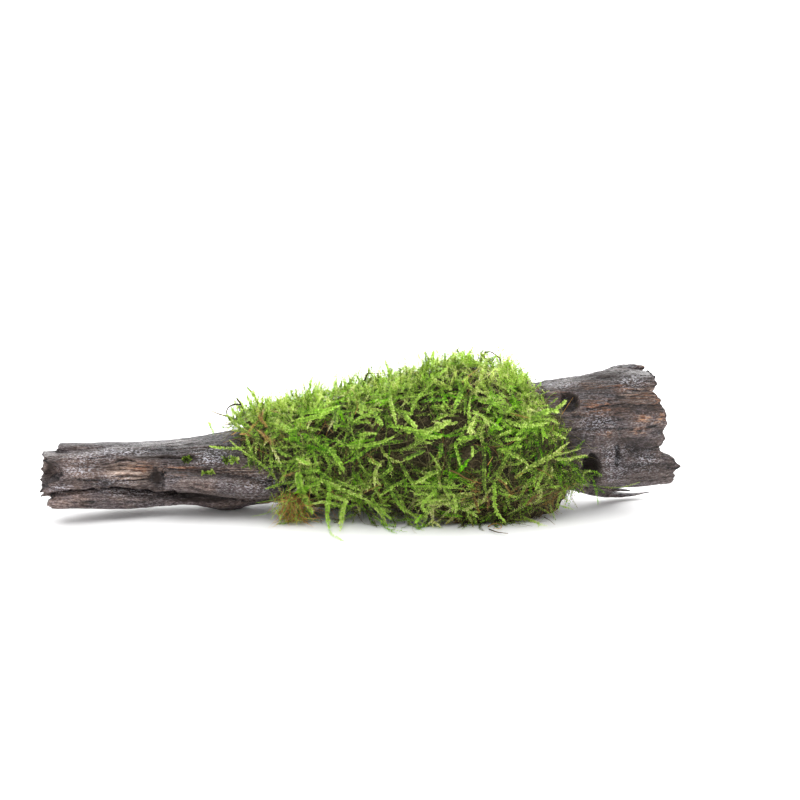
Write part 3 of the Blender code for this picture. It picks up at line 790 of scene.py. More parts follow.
def on_mat(x, angle, above):
    """Points at a height above the mat's outside. Past the mat's low edges they hang straight down, and one
    that would go below the ground lies on it and slides outwards instead."""
    held = np.clip(angle, MAT_BACK, MAT_FRONT)
    flat = section(MAT_ROWS, x.ravel(), held.ravel()[:, None], MAT_SWELL, above.ravel()[:, None])
    p = flat.reshape(*x.shape, 3)
    lean = MAT_WAVE * np.sin(MAT_WAVES * held + 1.0) - MAT_LEAN * (p[..., 2] - MAT_LEAN_HEIGHT)
    p[..., 0] += lean * fade(x, MAT_LEAN_FROM, MAT_LEAN_TO)
    p[..., 2] -= HANG_PER_RADIAN * np.abs(angle - held)
    sunk = np.maximum(GROUND_GAP - p[..., 2], 0)
    p[..., 2] += sunk
    p[..., 1] += SLIDE * sunk * np.sign(p[..., 1])
    return p


felt_x = stations((-53, 84, 1.1))
x, angle = np.meshgrid(felt_x, FELT_AROUND, indexing="ij")
low_angle = angle + fade(angle, *LOW_ANGLES) * LOW_RIGHT_LOWER * fade(x, *LOWER_FROM) * fade(x, *LOWER_TO)
outer = on_mat(x, low_angle, np.full(x.shape, -FELT_DEPTH))
in_wood = section(TRUNK_ROWS, felt_x, FELT_AROUND[None, :], 0.0, -FELT_IN_WOOD)
inner = section(TRUNK_ROWS, felt_x, FELT_AROUND[None, ::3], 0.0, -FELT_IN_WOOD)[:, ::-1]
ends = (fade(felt_x, *LEFT_TUCK) * fade(felt_x, *RIGHT_TUCK))[:, None]
tuck = ends * (1 - TOP_RIGHT_TUCK * fade(angle, *UPPER_ANGLES) * fade(x, *UPPER_FROM))
outer = in_wood + (outer - in_wood) * tuck[..., None]
lumps = sum(high * noise(outer / wide, 21 + k) for k, (high, wide) in enumerate(LUMPS))
away = outer - in_wood
outer = outer + away / np.maximum(np.linalg.norm(away, axis=-1, keepdims=True), 1.0) * lumps[..., None]
outer[..., 2] = np.maximum(outer[..., 2], GROUND_GAP)
felt = closed_mesh("moss_felt", np.concatenate([outer, inner], axis=1))
felt.data.shade_smooth()

# The felt's colours, from its gaps to its palest threads
FELT_TONES = (
    (0.38, (0.009, 0.0072, 0.0036)), (0.5, (0.046, 0.036, 0.0195)), (0.6, (0.114, 0.092, 0.054)),
    (0.7, (0.22, 0.18, 0.110)),
)

look, tree, shader = material("old_moss_felt")
place = add(tree, "ShaderNodeTexCoord").outputs["Object"]
clumps = grain_noise(tree, place, (160, 160, 160), 4.0)
threads = grain_noise(tree, place, (1300, 1300, 1300), 4.0)
colour = ramp(tree, weighed(tree, (clumps, 0.5), (threads, 0.5)), *FELT_TONES)
tree.links.new(colour, shader.inputs["Base Color"])
shader.inputs["Roughness"].default_value = 0.9
shader.inputs["Specular IOR Level"].default_value = 0.1
bump = add(tree, "ShaderNodeBump", {"Height": threads, "Strength": 1.0, "Distance": 0.0008})
tree.links.new(bump.outputs[0], shader.inputs["Normal"])
felt.data.materials.append(look)
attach(felt, "root")
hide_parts("moss_mat")


# The moss fronds
# The living moss: flat fronds, like small feathers, of a thin stem with two ranks of pointed leaves. They
# creep over the felt one over another, hang down in front, and stand up along the top with lit tips.

# Colours from deep shade to the palest tip, for living fronds, for old faded ones and for dead ones
LIVING = (
    (0.00, (0.018, 0.018, 0.007)),
    (0.20, (0.056, 0.072, 0.013)),
    (0.40, (0.127, 0.216, 0.025)),
    (0.60, (0.272, 0.462, 0.058)),
    (0.80, (0.500, 0.745, 0.118)),
    (1.00, (0.750, 0.930, 0.225)),
    (1.20, (0.860, 0.950, 0.400)),
)
FADED = (
    (0.00, (0.022, 0.018, 0.009)),
    (0.30, (0.101, 0.088, 0.036)),
    (0.60, (0.290, 0.252, 0.122)),
    (0.80, (0.440, 0.420, 0.190)),
    (1.10, (0.640, 0.640, 0.310)),
)
DEAD = (
    (0.00, (0.032, 0.020, 0.011)),
    (0.30, (0.121, 0.081, 0.040)),
    (0.60, (0.370, 0.205, 0.078)),
    (0.80, (0.700, 0.380, 0.120)),
    (1.10, (0.820, 0.570, 0.235)),
)

# How a frond's colour varies: from a cool deep green at -1 to a yellow green at 1
HUE_RANGE = (0.26, 0.0, 0.55)


def tinted(shades, value):
    """Colours read from a list of shades."""
    places = [place for place, colour in shades]
    colours = np.array([colour for place, colour in shades])
    return np.stack([np.interp(value, places, channel) for channel in colours.T], axis=-1)


def unit(v):
    """Directions of length one."""
    return v / np.maximum(np.linalg.norm(v, axis=-1, keepdims=True), 1e-9)


def turned(across, out, roll):
    """Two directions turned about the third by an angle."""
    c, s = np.cos(roll), np.sin(roll)
    return across * c + out * s, out * c - across * s


def framed(path, up, roll):
    """The directions along, across and out of each midline: its slope, and two square to it, of which out is
    as near as can be to up, and both turned by a roll."""
    along = unit(np.gradient(path, axis=1))
    across = unit(np.cross(along, up))
    across, out = turned(across, np.cross(across, along), roll[:, None, None])
    return along, across, out


# Fronds that would stand higher than this bend over level within the room above it.
BEND_HEIGHT, BEND_ROOM = 61.5, 4.5
STEPS = 10
LEAST_RADIUS = 12.0
CLIMB_POWER = 1.5


def creeping(x, angle, heading, curl, length, low, high):
    """Midlines that creep over the mat, and the mat's outward direction there. Each starts at x and angle,
    sets off at its heading and turns by its curl. Its steps along and round the mat are the cosine and the
    sine of the heading, and it climbs from low to high above the mat."""
    t = np.linspace(0, 1, STEPS)
    turn = heading[:, None] + curl[:, None] * t
    step = length[:, None] / (STEPS - 1)
    radius = np.interp(x, [row[0] for row in MAT_ROWS], [row[4] for row in MAT_ROWS])[:, None]
    xs = x[:, None] + np.cumsum(np.cos(turn) * step, axis=1)
    angles = angle[:, None] + np.cumsum(np.sin(turn) * step / np.maximum(radius, LEAST_RADIUS), axis=1)
    above = low[:, None] + (high - low)[:, None] * t**CLIMB_POWER
    path = on_mat(xs, angles, above)
    up = unit(on_mat(xs, angles, above + 1.0) - path + (0, 0, 1e-6))
    return under_top(path), up


def under_top(path):
    """Moss rises no higher than in the photograph: above a height, points rise less and less, up to a
    room."""
    over = np.maximum(path[..., 2] - BEND_HEIGHT, 0)
    path[..., 2] -= over - BEND_ROOM * (1 - np.exp(-over / BEND_ROOM))
    return path


def shooting(base, direction, bend, length, steps):
    """Midlines of free shoots: base, plus length by (t by the direction plus t squared by the bend)."""
    t = np.linspace(0, 1, steps)[None, :, None]
    return under_top(base[:, None] + length[:, None, None] * (t * direction[:, None] + t**2 * bend[:, None]))


# Along a frond from base to tip: how far its leaves lean off the stem in degrees, their length as a share of
# the frond's leaf size, and how much paler than its tone they and the stem are
LEAF_LEAN = (0, 0.84, 1), (54, 46, 10)
LEAF_LENGTH = (0, 0.1, 0.5, 0.9, 1), (0.6, 0.9, 1, 0.86, 0.66)
LEAF_PALER = (0, 0.6, 1), (-0.13, 0.02, 0.18)
STEM_PALER = (0, 1), (-0.22, 0.08)

# How much leaves differ: in degrees of lean, in lift off the frond, in length and in tone. The two ranks
# differ in tone too.
LEAN_SPREAD, LIFT_RANGE, LENGTH_RANGE, PALER_SPREAD, RANK_PALER = 9, (-0.42, 0.50), (0.70, 1.18), 0.16, 0.05

# Of a leaf's four points two are its sides: how far along it, how far out and how far up they are, as shares
# of its length. Then how much paler each point is than the leaf, the palest that a colour may be, and the
# share of its thickness that a stem loses.
SIDE_ALONG, SIDE_OUT, SIDE_RISE = 0.40, 0.27, 0.07
POINT_PALER = (-0.24, 0.0, 0.18, 0.0)
PALEST = 0.96
STEM_TAPER = 0.67


def leafy(path, frame, pairs, size, tone, shades, rng, hue=0.0):
    """Two ranks of leaves on each midline. A leaf is a kite of four points, folded a little along its middle.
    It leans forward, more so near the tip of the frond, and it is small at both ends of the frond. A frond
    gets lighter from its base to its tip."""
    n, steps = path.shape[:2]
    count = 2 * pairs
    u = (np.arange(count) + 0.7) / count
    side = np.where(np.arange(count) % 2, 1.0, -1.0)[None, :, None]
    i = np.minimum((u * (steps - 1)).astype(int), steps - 2)
    f = (u * (steps - 1) - i)[None, :, None]
    centre, along, across, out = (v[:, i] * (1 - f) + v[:, i + 1] * f for v in (path, *frame))
    lean = np.radians(np.interp(u, *LEAF_LEAN) + rng.normal(0, LEAN_SPREAD, (n, count)))[..., None]
    lift = rng.uniform(*LIFT_RANGE, (n, count, 1))
    d = unit(along * np.cos(lean) + side * across * np.sin(lean) + out * lift)
    w = np.cross(out, d)
    reach = size[:, None] * np.interp(u, *LEAF_LENGTH)
    reach = (reach * rng.uniform(*LENGTH_RANGE, (n, count)))[..., None]
    belly = centre + d * SIDE_ALONG * reach + out * SIDE_RISE * reach
    half = w * SIDE_OUT * reach
    points = np.stack([centre, belly + half, centre + d * reach, belly - half], axis=2)
    k = np.arange(n * count)[:, None] * 4
    triangles = np.concatenate([k + (0, 2, 1), k + (0, 3, 2)])
    shade = tone[:, None] + np.interp(u, *LEAF_PALER) + rng.normal(0, PALER_SPREAD, (n, count))
    shade += RANK_PALER * side[..., 0] * rng.choice((-1.0, 1.0), (n, 1))
    colours = tinted(shades, shade[..., None] + POINT_PALER)
    colours = colours * (1 + (np.zeros(n) + hue)[:, None, None, None] * HUE_RANGE)
    return points.reshape(-1, 3), triangles, np.minimum(colours, PALEST).reshape(-1, 3)


def stemmed(path, frame, thick, tone, shades):
    """Three-sided stems along the midlines, which taper to a third, closed at both ends."""
    n, steps = path.shape[:2]
    t = np.linspace(0, 1, steps)
    radius = (thick[:, None] * (1 - STEM_TAPER * t))[..., None, None]
    turn = np.arange(3) * 2 * np.pi / 3
    ring = frame[1][:, :, None] * np.cos(turn)[:, None] + frame[2][:, :, None] * np.sin(turn)[:, None]
    points = path[:, :, None] + radius * ring
    k = np.arange(n * steps * 3).reshape(n, steps, 3)
    m = np.roll(k, -1, axis=2)
    near = np.stack([k[:, :-1], m[:, :-1], m[:, 1:]], axis=-1).reshape(-1, 3)
    far = np.stack([k[:, :-1], m[:, 1:], k[:, 1:]], axis=-1).reshape(-1, 3)
    triangles = np.concatenate([near[:, ::-1], far[:, ::-1], k[:, 0], k[:, -1, ::-1]])
    shade = np.repeat((tone[:, None] + np.interp(t, *STEM_PALER))[..., None], 3, axis=2)
    return points.reshape(-1, 3), triangles, tinted(shades, shade).reshape(-1, 3)


def leaves_and_stems(path, frame, pairs, sizes, tones, shades, rng, hue=0.0, stem=0.10):
    """Fronds on the midlines: their leaves, and their stems, as thick as a share of the leaf size."""
    leaves = leafy(path, frame, pairs, sizes, tones, shades, rng, hue)
    return [leaves, stemmed(path, frame, stem * sizes, tones, shades)]


# No moss lies lower than this.
LEAST_HEIGHT = 0.1


def gathered(name, parts, look):
    """One piece of many small surfaces: their points, triangles and colours, one after another."""
    starts = np.cumsum([0] + [len(points) for points, triangles, colours in parts])
    points = np.concatenate([part[0] for part in parts])
    points[:, 2] = np.maximum(points[:, 2], LEAST_HEIGHT)
    triangles = np.concatenate([part[1] + start for part, start in zip(parts, starts)])
    colours = np.concatenate([part[2] for part in parts])
    mesh = bpy.data.meshes.new(name)
    mesh.vertices.add(len(points))
    mesh.vertices.foreach_set("co", ((points + WOOD_ORIGIN) * MM).astype(np.float32).ravel())
    mesh.loops.add(triangles.size)
    mesh.loops.foreach_set("vertex_index", triangles.astype(np.int32).ravel())
    mesh.polygons.add(len(triangles))
    mesh.polygons.foreach_set("loop_start", np.arange(0, triangles.size, 3, dtype=np.int32))
    mesh.update(calc_edges=True)
    mesh.shade_smooth()
    tint = mesh.attributes.new("tint", "FLOAT_COLOR", "POINT")
    opaque = np.column_stack([colours, np.ones(len(colours))])
    tint.data.foreach_set("color", opaque.astype(np.float32).ravel())
    mesh.materials.append(look)
    made = shown(name, mesh)
    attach(made, "root")
    return made


# The living moss is mottled a little, and lets part of the light through, a little yellower
MOTTLE = ((0.3, (0.72, 0.72, 0.66)), (0.7, (1.2, 1.18, 1.1)))
LIGHT_THROUGH, THROUGH_COLOUR = 0.38, (0.92, 1.0, 0.72)

living_look, tree, shader = material("java_moss")
tint = add(tree, "ShaderNodeAttribute", attribute_name="tint").outputs["Color"]
place = add(tree, "ShaderNodeTexCoord").outputs["Object"]
mottle = ramp(tree, grain_noise(tree, place, (900, 900, 900), 2.0), *MOTTLE)
colour = mix(tree, 1.0, tint, mottle, "MULTIPLY")
tree.links.new(colour, shader.inputs["Base Color"])
shader.inputs["Roughness"].default_value = 0.48
shader.inputs["Specular IOR Level"].default_value = 0.25
through = mix(tree, 1.0, colour, THROUGH_COLOUR, "MULTIPLY")
glow = add(tree, "ShaderNodeBsdfTranslucent", {"Color": through})
both = add(tree, "ShaderNodeMixShader", {0: LIGHT_THROUGH, 1: shader.outputs[0], 2: glow.outputs[0]})
tree.links.new(both.outputs[0], tree.nodes["Material Output"].inputs["Surface"])


def patch(px, py, places):
    """The sum of soft round patches in the photograph: centre, radii and strength."""
    return sum(s * np.exp(-(((px - cx) / rx) ** 2) - ((py - cy) / ry) ** 2) for cx, cy, rx, ry, s in places)


# Where the moss in front is lighter or duller, and where it is dead: centre, radii and strength, in pixels.
# The lighter places low in front and at the top right are partly painted light.
TONE_PX = (
    (495, 408, 22, 20, 0.16), (455, 392, 12, 16, 0.08), (550, 412, 30, 14, 0.04), (318, 412, 30, 10, 0.12),
    (428, 500, 24, 16, 0.28), (340, 500, 34, 18, 0.32), (545, 462, 34, 16, -0.02), (350, 486, 24, 8, 0.06),
    (298, 490, 14, 24, 0.14), (420, 432, 30, 9, 0.12), (535, 505, 44, 20, 0.14), (500, 470, 24, 26, -0.04),
    (400, 460, 34, 14, -0.10), (330, 460, 30, 16, -0.12), (465, 520, 26, 7, -0.12), (440, 470, 30, 16, 0.0),
    (272, 470, 18, 16, -0.10), (410, 408, 16, 10, -0.08), (330, 432, 26, 10, -0.12), (380, 508, 20, 8, -0.05),
    (520, 372, 34, 14, 0.24), (285, 402, 60, 14, -0.12), (400, 376, 60, 12, -0.10), (325, 508, 34, 14, 0.14),
    (440, 508, 44, 14, 0.20), (545, 500, 36, 16, 0.18), (525, 440, 50, 18, -0.13),
)
DEAD_PX = (
    (258, 415, 9, 8, 0.75), (254, 428, 8, 5, 0.55), (267, 436, 9, 7, 0.8), (300, 505, 12, 12, 0.5),
    (500, 500, 12, 26, 0.45), (540, 506, 34, 16, 0.55), (473, 490, 8, 10, 0.5), (520, 470, 20, 10, 0.25),
    (392, 460, 24, 10, 0.32), (345, 470, 16, 10, 0.26), (450, 372, 8, 6, 0.3), (465, 520, 26, 10, 0.6),
    (430, 500, 44, 14, 0.16), (556, 492, 22, 14, 0.30), (330, 498, 26, 12, 0.12),
)

# Where it is a vivid, deeper green: centre, radii and strength, in pixels
VIVID_PX = (
    (495, 405, 20, 20, 1.0), (458, 392, 10, 16, 0.8), (530, 440, 26, 14, 0.6), (550, 458, 22, 12, 0.8),
    (345, 408, 16, 12, 0.7), (382, 438, 26, 8, 0.8), (310, 420, 14, 10, 0.4), (485, 470, 8, 26, 0.9),
)

# Where the living fronds leave gaps that show the old brown growth: centre, radii and strength, in pixels
GAPS_PX = (
    (327, 437, 12, 10, 0.80), (332, 468, 12, 9, 0.80), (392, 456, 30, 18, 0.64), (418, 412, 9, 13, 0.64),
    (268, 450, 16, 12, 0.56), (402, 504, 14, 9, 0.64), (470, 460, 10, 8, 0.72), (446, 482, 9, 8, 0.64),
    (480, 500, 12, 14, 0.56), (535, 443, 12, 7, 0.48), (287, 480, 7, 8, 0.48), (352, 472, 12, 8, 0.48),
    (425, 452, 8, 8, 0.56), (545, 500, 30, 12, 0.40), (440, 378, 8, 6, 0.40), (300, 440, 8, 6, 0.40),
)

# How far down the mat reaches at each x, back and front, as angles in degrees
MAT_REACH = (
    (-54, 70, 112), (-50, 52, 126), (-46, 30, 142), (-40, 8, 164), (-32, -14, 196), (-24, -38, 226),
    (56, -40, 236), (70, -36, 230), (78, -30, 218), (86, -20, 204),
)

# Fronds set off in one of two directions, in degrees, where 0 is along the wood and 90 is down the front.
# Near the ends of the mat most of those that head outwards are turned inwards. They curl, and waver as they
# go.
HEADINGS = (20, 150)
TURN_IN_RIGHT, TURN_IN_LEFT, TURNED_SHARE = 140, -130, 0.88
RIGHT_END, HEADS_RIGHT = (56, 72), 75
LEFT_END, HEADS_LEFT = (-28, -40), 95
AT_BACK = 0.2
CURL, ROLL, SHOOT_ROLL = 0.9, 0.45, 0.3
WAVER, WAVER_SIZE, ANYWHERE = 0.35, 4.0, (0, 90)
FRONT_FACING = 0.3

# Tones are higher on top, as painted light, and uneven in patches. Old and dead fronds are darker, with
# smaller leaves, and there are more of them in gaps and dead places.
TOP_PAINTED_LIGHT, PATCH_PALER, PATCH_SIZE, OLD_DARKER = 0.15, 0.10, 11.0, 0.20
OLD_IN_GAPS, DEAD_IN_PLACES, DEAD_ANYWHERE = 0.4, 0.7, 0.012
LEAF_SHARES = (1.0, 0.75, 0.5)
HUE_SPREAD, VIVID_HUE = 0.85, 0.9

# Side shoots: the angle they fork at in degrees, their length as a share of the frond's, and how they bend
FORK, SHOOT_LENGTH, SHOOT_STEPS, SHOOT_LEAF, SHOOT_PALER = (35, 62), (0.24, 0.46), 6, 0.85, 0.05
SHOOT_BEND_ON, SHOOT_BEND_DOWN, SHOOT_BEND_SPREAD = 0.25, 0.30, 0.12


def mat_reach(x):
    """How far down the mat reaches at each x, at the back and in front, in degrees."""
    places, back, front = np.array(MAT_REACH).T
    return np.interp(x, places, back), np.interp(x, places, front)


def of_kinds(path, frame, pairs, leaf_sizes, tones, kind, rng, hue):
    """Leaves and stems of fronds, in the colours of their kind: 0 is living, 1 faded and 2 dead."""
    parts = []
    for number, shades in enumerate((LIVING, FADED, DEAD)):
        of = kind == number
        mine = [v[of] for v in frame]
        parts += leaves_and_stems(path[of], mine, pairs, leaf_sizes[of], tones[of], shades, rng, hue[of])
    return parts


def grow(
    seed, count, spread, length, leaf, pairs, low, high, tone, x_range=(-51, 81), shoots=0, share=(0.0, 1.0),
    faded=0.1, thinned=1.0,
):
    """One layer of fronds all round the mat, with side shoots. Each range is lowest and highest. The headings
    are those above, give or take the spread. Where the photograph shows dead or dull moss, more of them are
    dead or dull, and where it shows gaps there are fewer. Share is where the layer starts and ends, as shares
    of the way round from the back, and faded is the share of old fronds."""
    rng = np.random.default_rng(seed)
    x = rng.uniform(*x_range, count)
    back, front = mat_reach(x)
    angle = np.radians(back + (front - back) * rng.uniform(*share, count))
    heading = np.where(rng.random(count) < 0.5, *HEADINGS) + rng.normal(0, spread, count)
    inwards = fade(x, *RIGHT_END) * (np.abs(heading) < HEADS_RIGHT) * TURN_IN_RIGHT
    inwards += fade(x, *LEFT_END) * (heading > HEADS_LEFT) * TURN_IN_LEFT
    heading = np.radians(heading + inwards * (rng.random(count) < TURNED_SHARE))
    heading = np.where(np.cos(angle) > AT_BACK, -heading, heading)
    size = rng.uniform(*length, count)
    lows, highs = rng.uniform(*low, count), rng.uniform(*high, count)
    path, up = creeping(x, angle, heading, rng.normal(0, CURL, count), size, lows, highs)
    path += WAVER * noise(path / WAVER_SIZE + rng.uniform(*ANYWHERE, (count, 1, 3)), 31)[..., None] * up
    middle = STEPS // 2
    px, py = seen(path[:, middle])
    kept = rng.random(count) >= thinned * patch(px, py, GAPS_PX) * (up[:, middle, 1] < FRONT_FACING)
    path, up, size, px, py = path[kept], up[kept], size[kept], px[kept], py[kept]
    count = len(size)
    front = (up[:, middle, 1] < FRONT_FACING) * 1.0
    tones = rng.uniform(*tone, count) + front * patch(px, py, TONE_PX)
    uneven = PATCH_PALER * noise(path[:, middle] / PATCH_SIZE, 32)
    tones += TOP_PAINTED_LIGHT * np.clip(up[:, middle, 2], -0.3, 1) + uneven
    kind = np.where(rng.random(count) < faded + OLD_IN_GAPS * front * patch(px, py, GAPS_PX), 1, 0)
    dying = DEAD_IN_PLACES * front * patch(px, py, DEAD_PX) + DEAD_ANYWHERE
    kind = np.where(rng.random(count) < dying, 2, kind)
    tones -= OLD_DARKER * (kind > 0)
    vivid = VIVID_HUE * front * patch(px, py, VIVID_PX)
    hue = (kind == 0) * (rng.normal(0.0, HUE_SPREAD, count) - vivid)
    frame = framed(path, up, rng.normal(0, ROLL, count))
    leaf_sizes = rng.uniform(*leaf, count) * np.choose(kind, LEAF_SHARES)
    parts = of_kinds(path, frame, pairs, leaf_sizes, tones, kind, rng, hue)
    for shoot in range(shoots):
        start = (np.arange(count), rng.integers(1, middle + 3, count))
        along, across, out = (v[start] for v in frame)
        side = rng.choice((-1.0, 1.0), count)
        fork = np.radians(rng.uniform(*FORK, count))
        direction = along * np.cos(fork)[:, None] + across * (side * np.sin(fork))[:, None]
        bend = SHOOT_BEND_ON * along - SHOOT_BEND_DOWN * out + rng.normal(0, SHOOT_BEND_SPREAD, (count, 3))
        branch = shooting(path[start], direction, bend, size * rng.uniform(*SHOOT_LENGTH, count), SHOOT_STEPS)
        branch[..., 2] = np.maximum(branch[..., 2], GROUND_GAP)
        limbs = framed(branch, out[:, None], rng.normal(0, SHOOT_ROLL, count))
        leaves = SHOOT_LEAF * leaf_sizes
        parts += of_kinds(branch, limbs, pairs // 3, leaves, tones + SHOOT_PALER, kind, rng, hue)
    return parts


# The layers from the felt outwards: seed, count, spread, length, leaf, pairs, low, high, tone and x_range,
# and then what differs from grow's own values. Tones rise outwards: the deeper layers are darker, partly as
# painted shade and partly as older growth. Two pieces have a second layer in one place: long fronds at the
# back, and fuzz where the mat ends on the right.
OLD, GREEN, YOUNG, CROWN = (0.00, 0.34), (0.16, 0.60), (0.44, 0.86), (0.34, 0.90)
LOW_FUZZ, EDGE_FUZZ = (0.30, 0.66), (0.30, 0.78)
GREEN_LAYER = (540, 50, (8, 17), (0.70, 1.10), 22, (-3.0, -1.0), (-0.8, 1.6), GREEN)
LAYERS = (
    ("moss_old_fronds", (
        (41, 1150, 50, (7, 14), (0.6, 0.95), 18, (-3.6, -1.6), (-2.2, 0.0), OLD, (-51, 81)),
        dict(faded=0.8, thinned=0.0),
    )),
    ("moss_green_fronds_left", ((42, *GREEN_LAYER, (-47, 16)), dict(shoots=1, faded=0.34))),
    ("moss_green_fronds_right", ((43, *GREEN_LAYER, (12, 79)), dict(shoots=1, faded=0.34))),
    ("moss_young_fronds", (
        (44, 430, 45, (9, 19), (0.80, 1.25), 26, (-2.4, -0.4), (0.2, 2.6), YOUNG, (-50, 80)),
        dict(shoots=2, faded=0.02),
    ), (
        (48, 64, 40, (12, 19), (0.80, 1.20), 26, (-1.0, 0.6), (3.0, 8.0), YOUNG, (-40, 74)),
        dict(shoots=1, share=(0.0, 0.30), faded=0.02),
    )),
    ("moss_crown", (
        (46, 420, 70, (5, 10), (0.70, 1.10), 15, (-1.6, 0.2), (0.8, 3.0), CROWN, (-54, 76)),
        dict(shoots=1, share=(0.34, 0.62), faded=0.08),
    )),
    ("moss_low_fuzz", (
        (45, 950, 90, (3.5, 7.5), (0.45, 0.75), 10, (-3.0, -1.0), (-1.4, 0.8), LOW_FUZZ, (-28, 79)),
        dict(share=(0.82, 1.0), faded=0.45, thinned=0.3),
    ), (
        (47, 560, 90, (4, 9), (0.70, 1.05), 10, (-3.6, -1.0), (-0.6, 1.8), EDGE_FUZZ, (68, 83)),
        dict(share=(0.6, 1.0), faded=0.5, thinned=0.0),
    )),
)
for name, *layers in LAYERS:
    gathered(name, [part for sizes, others in layers for part in grow(*sizes, **others)], living_look)


# The moss seen in the photograph
# Single fronds that stand out in front: each is placed where it shows, on the mat or the wood behind it, and
# rises a little towards its tip. Bare wiry stems and straws go in the same way.

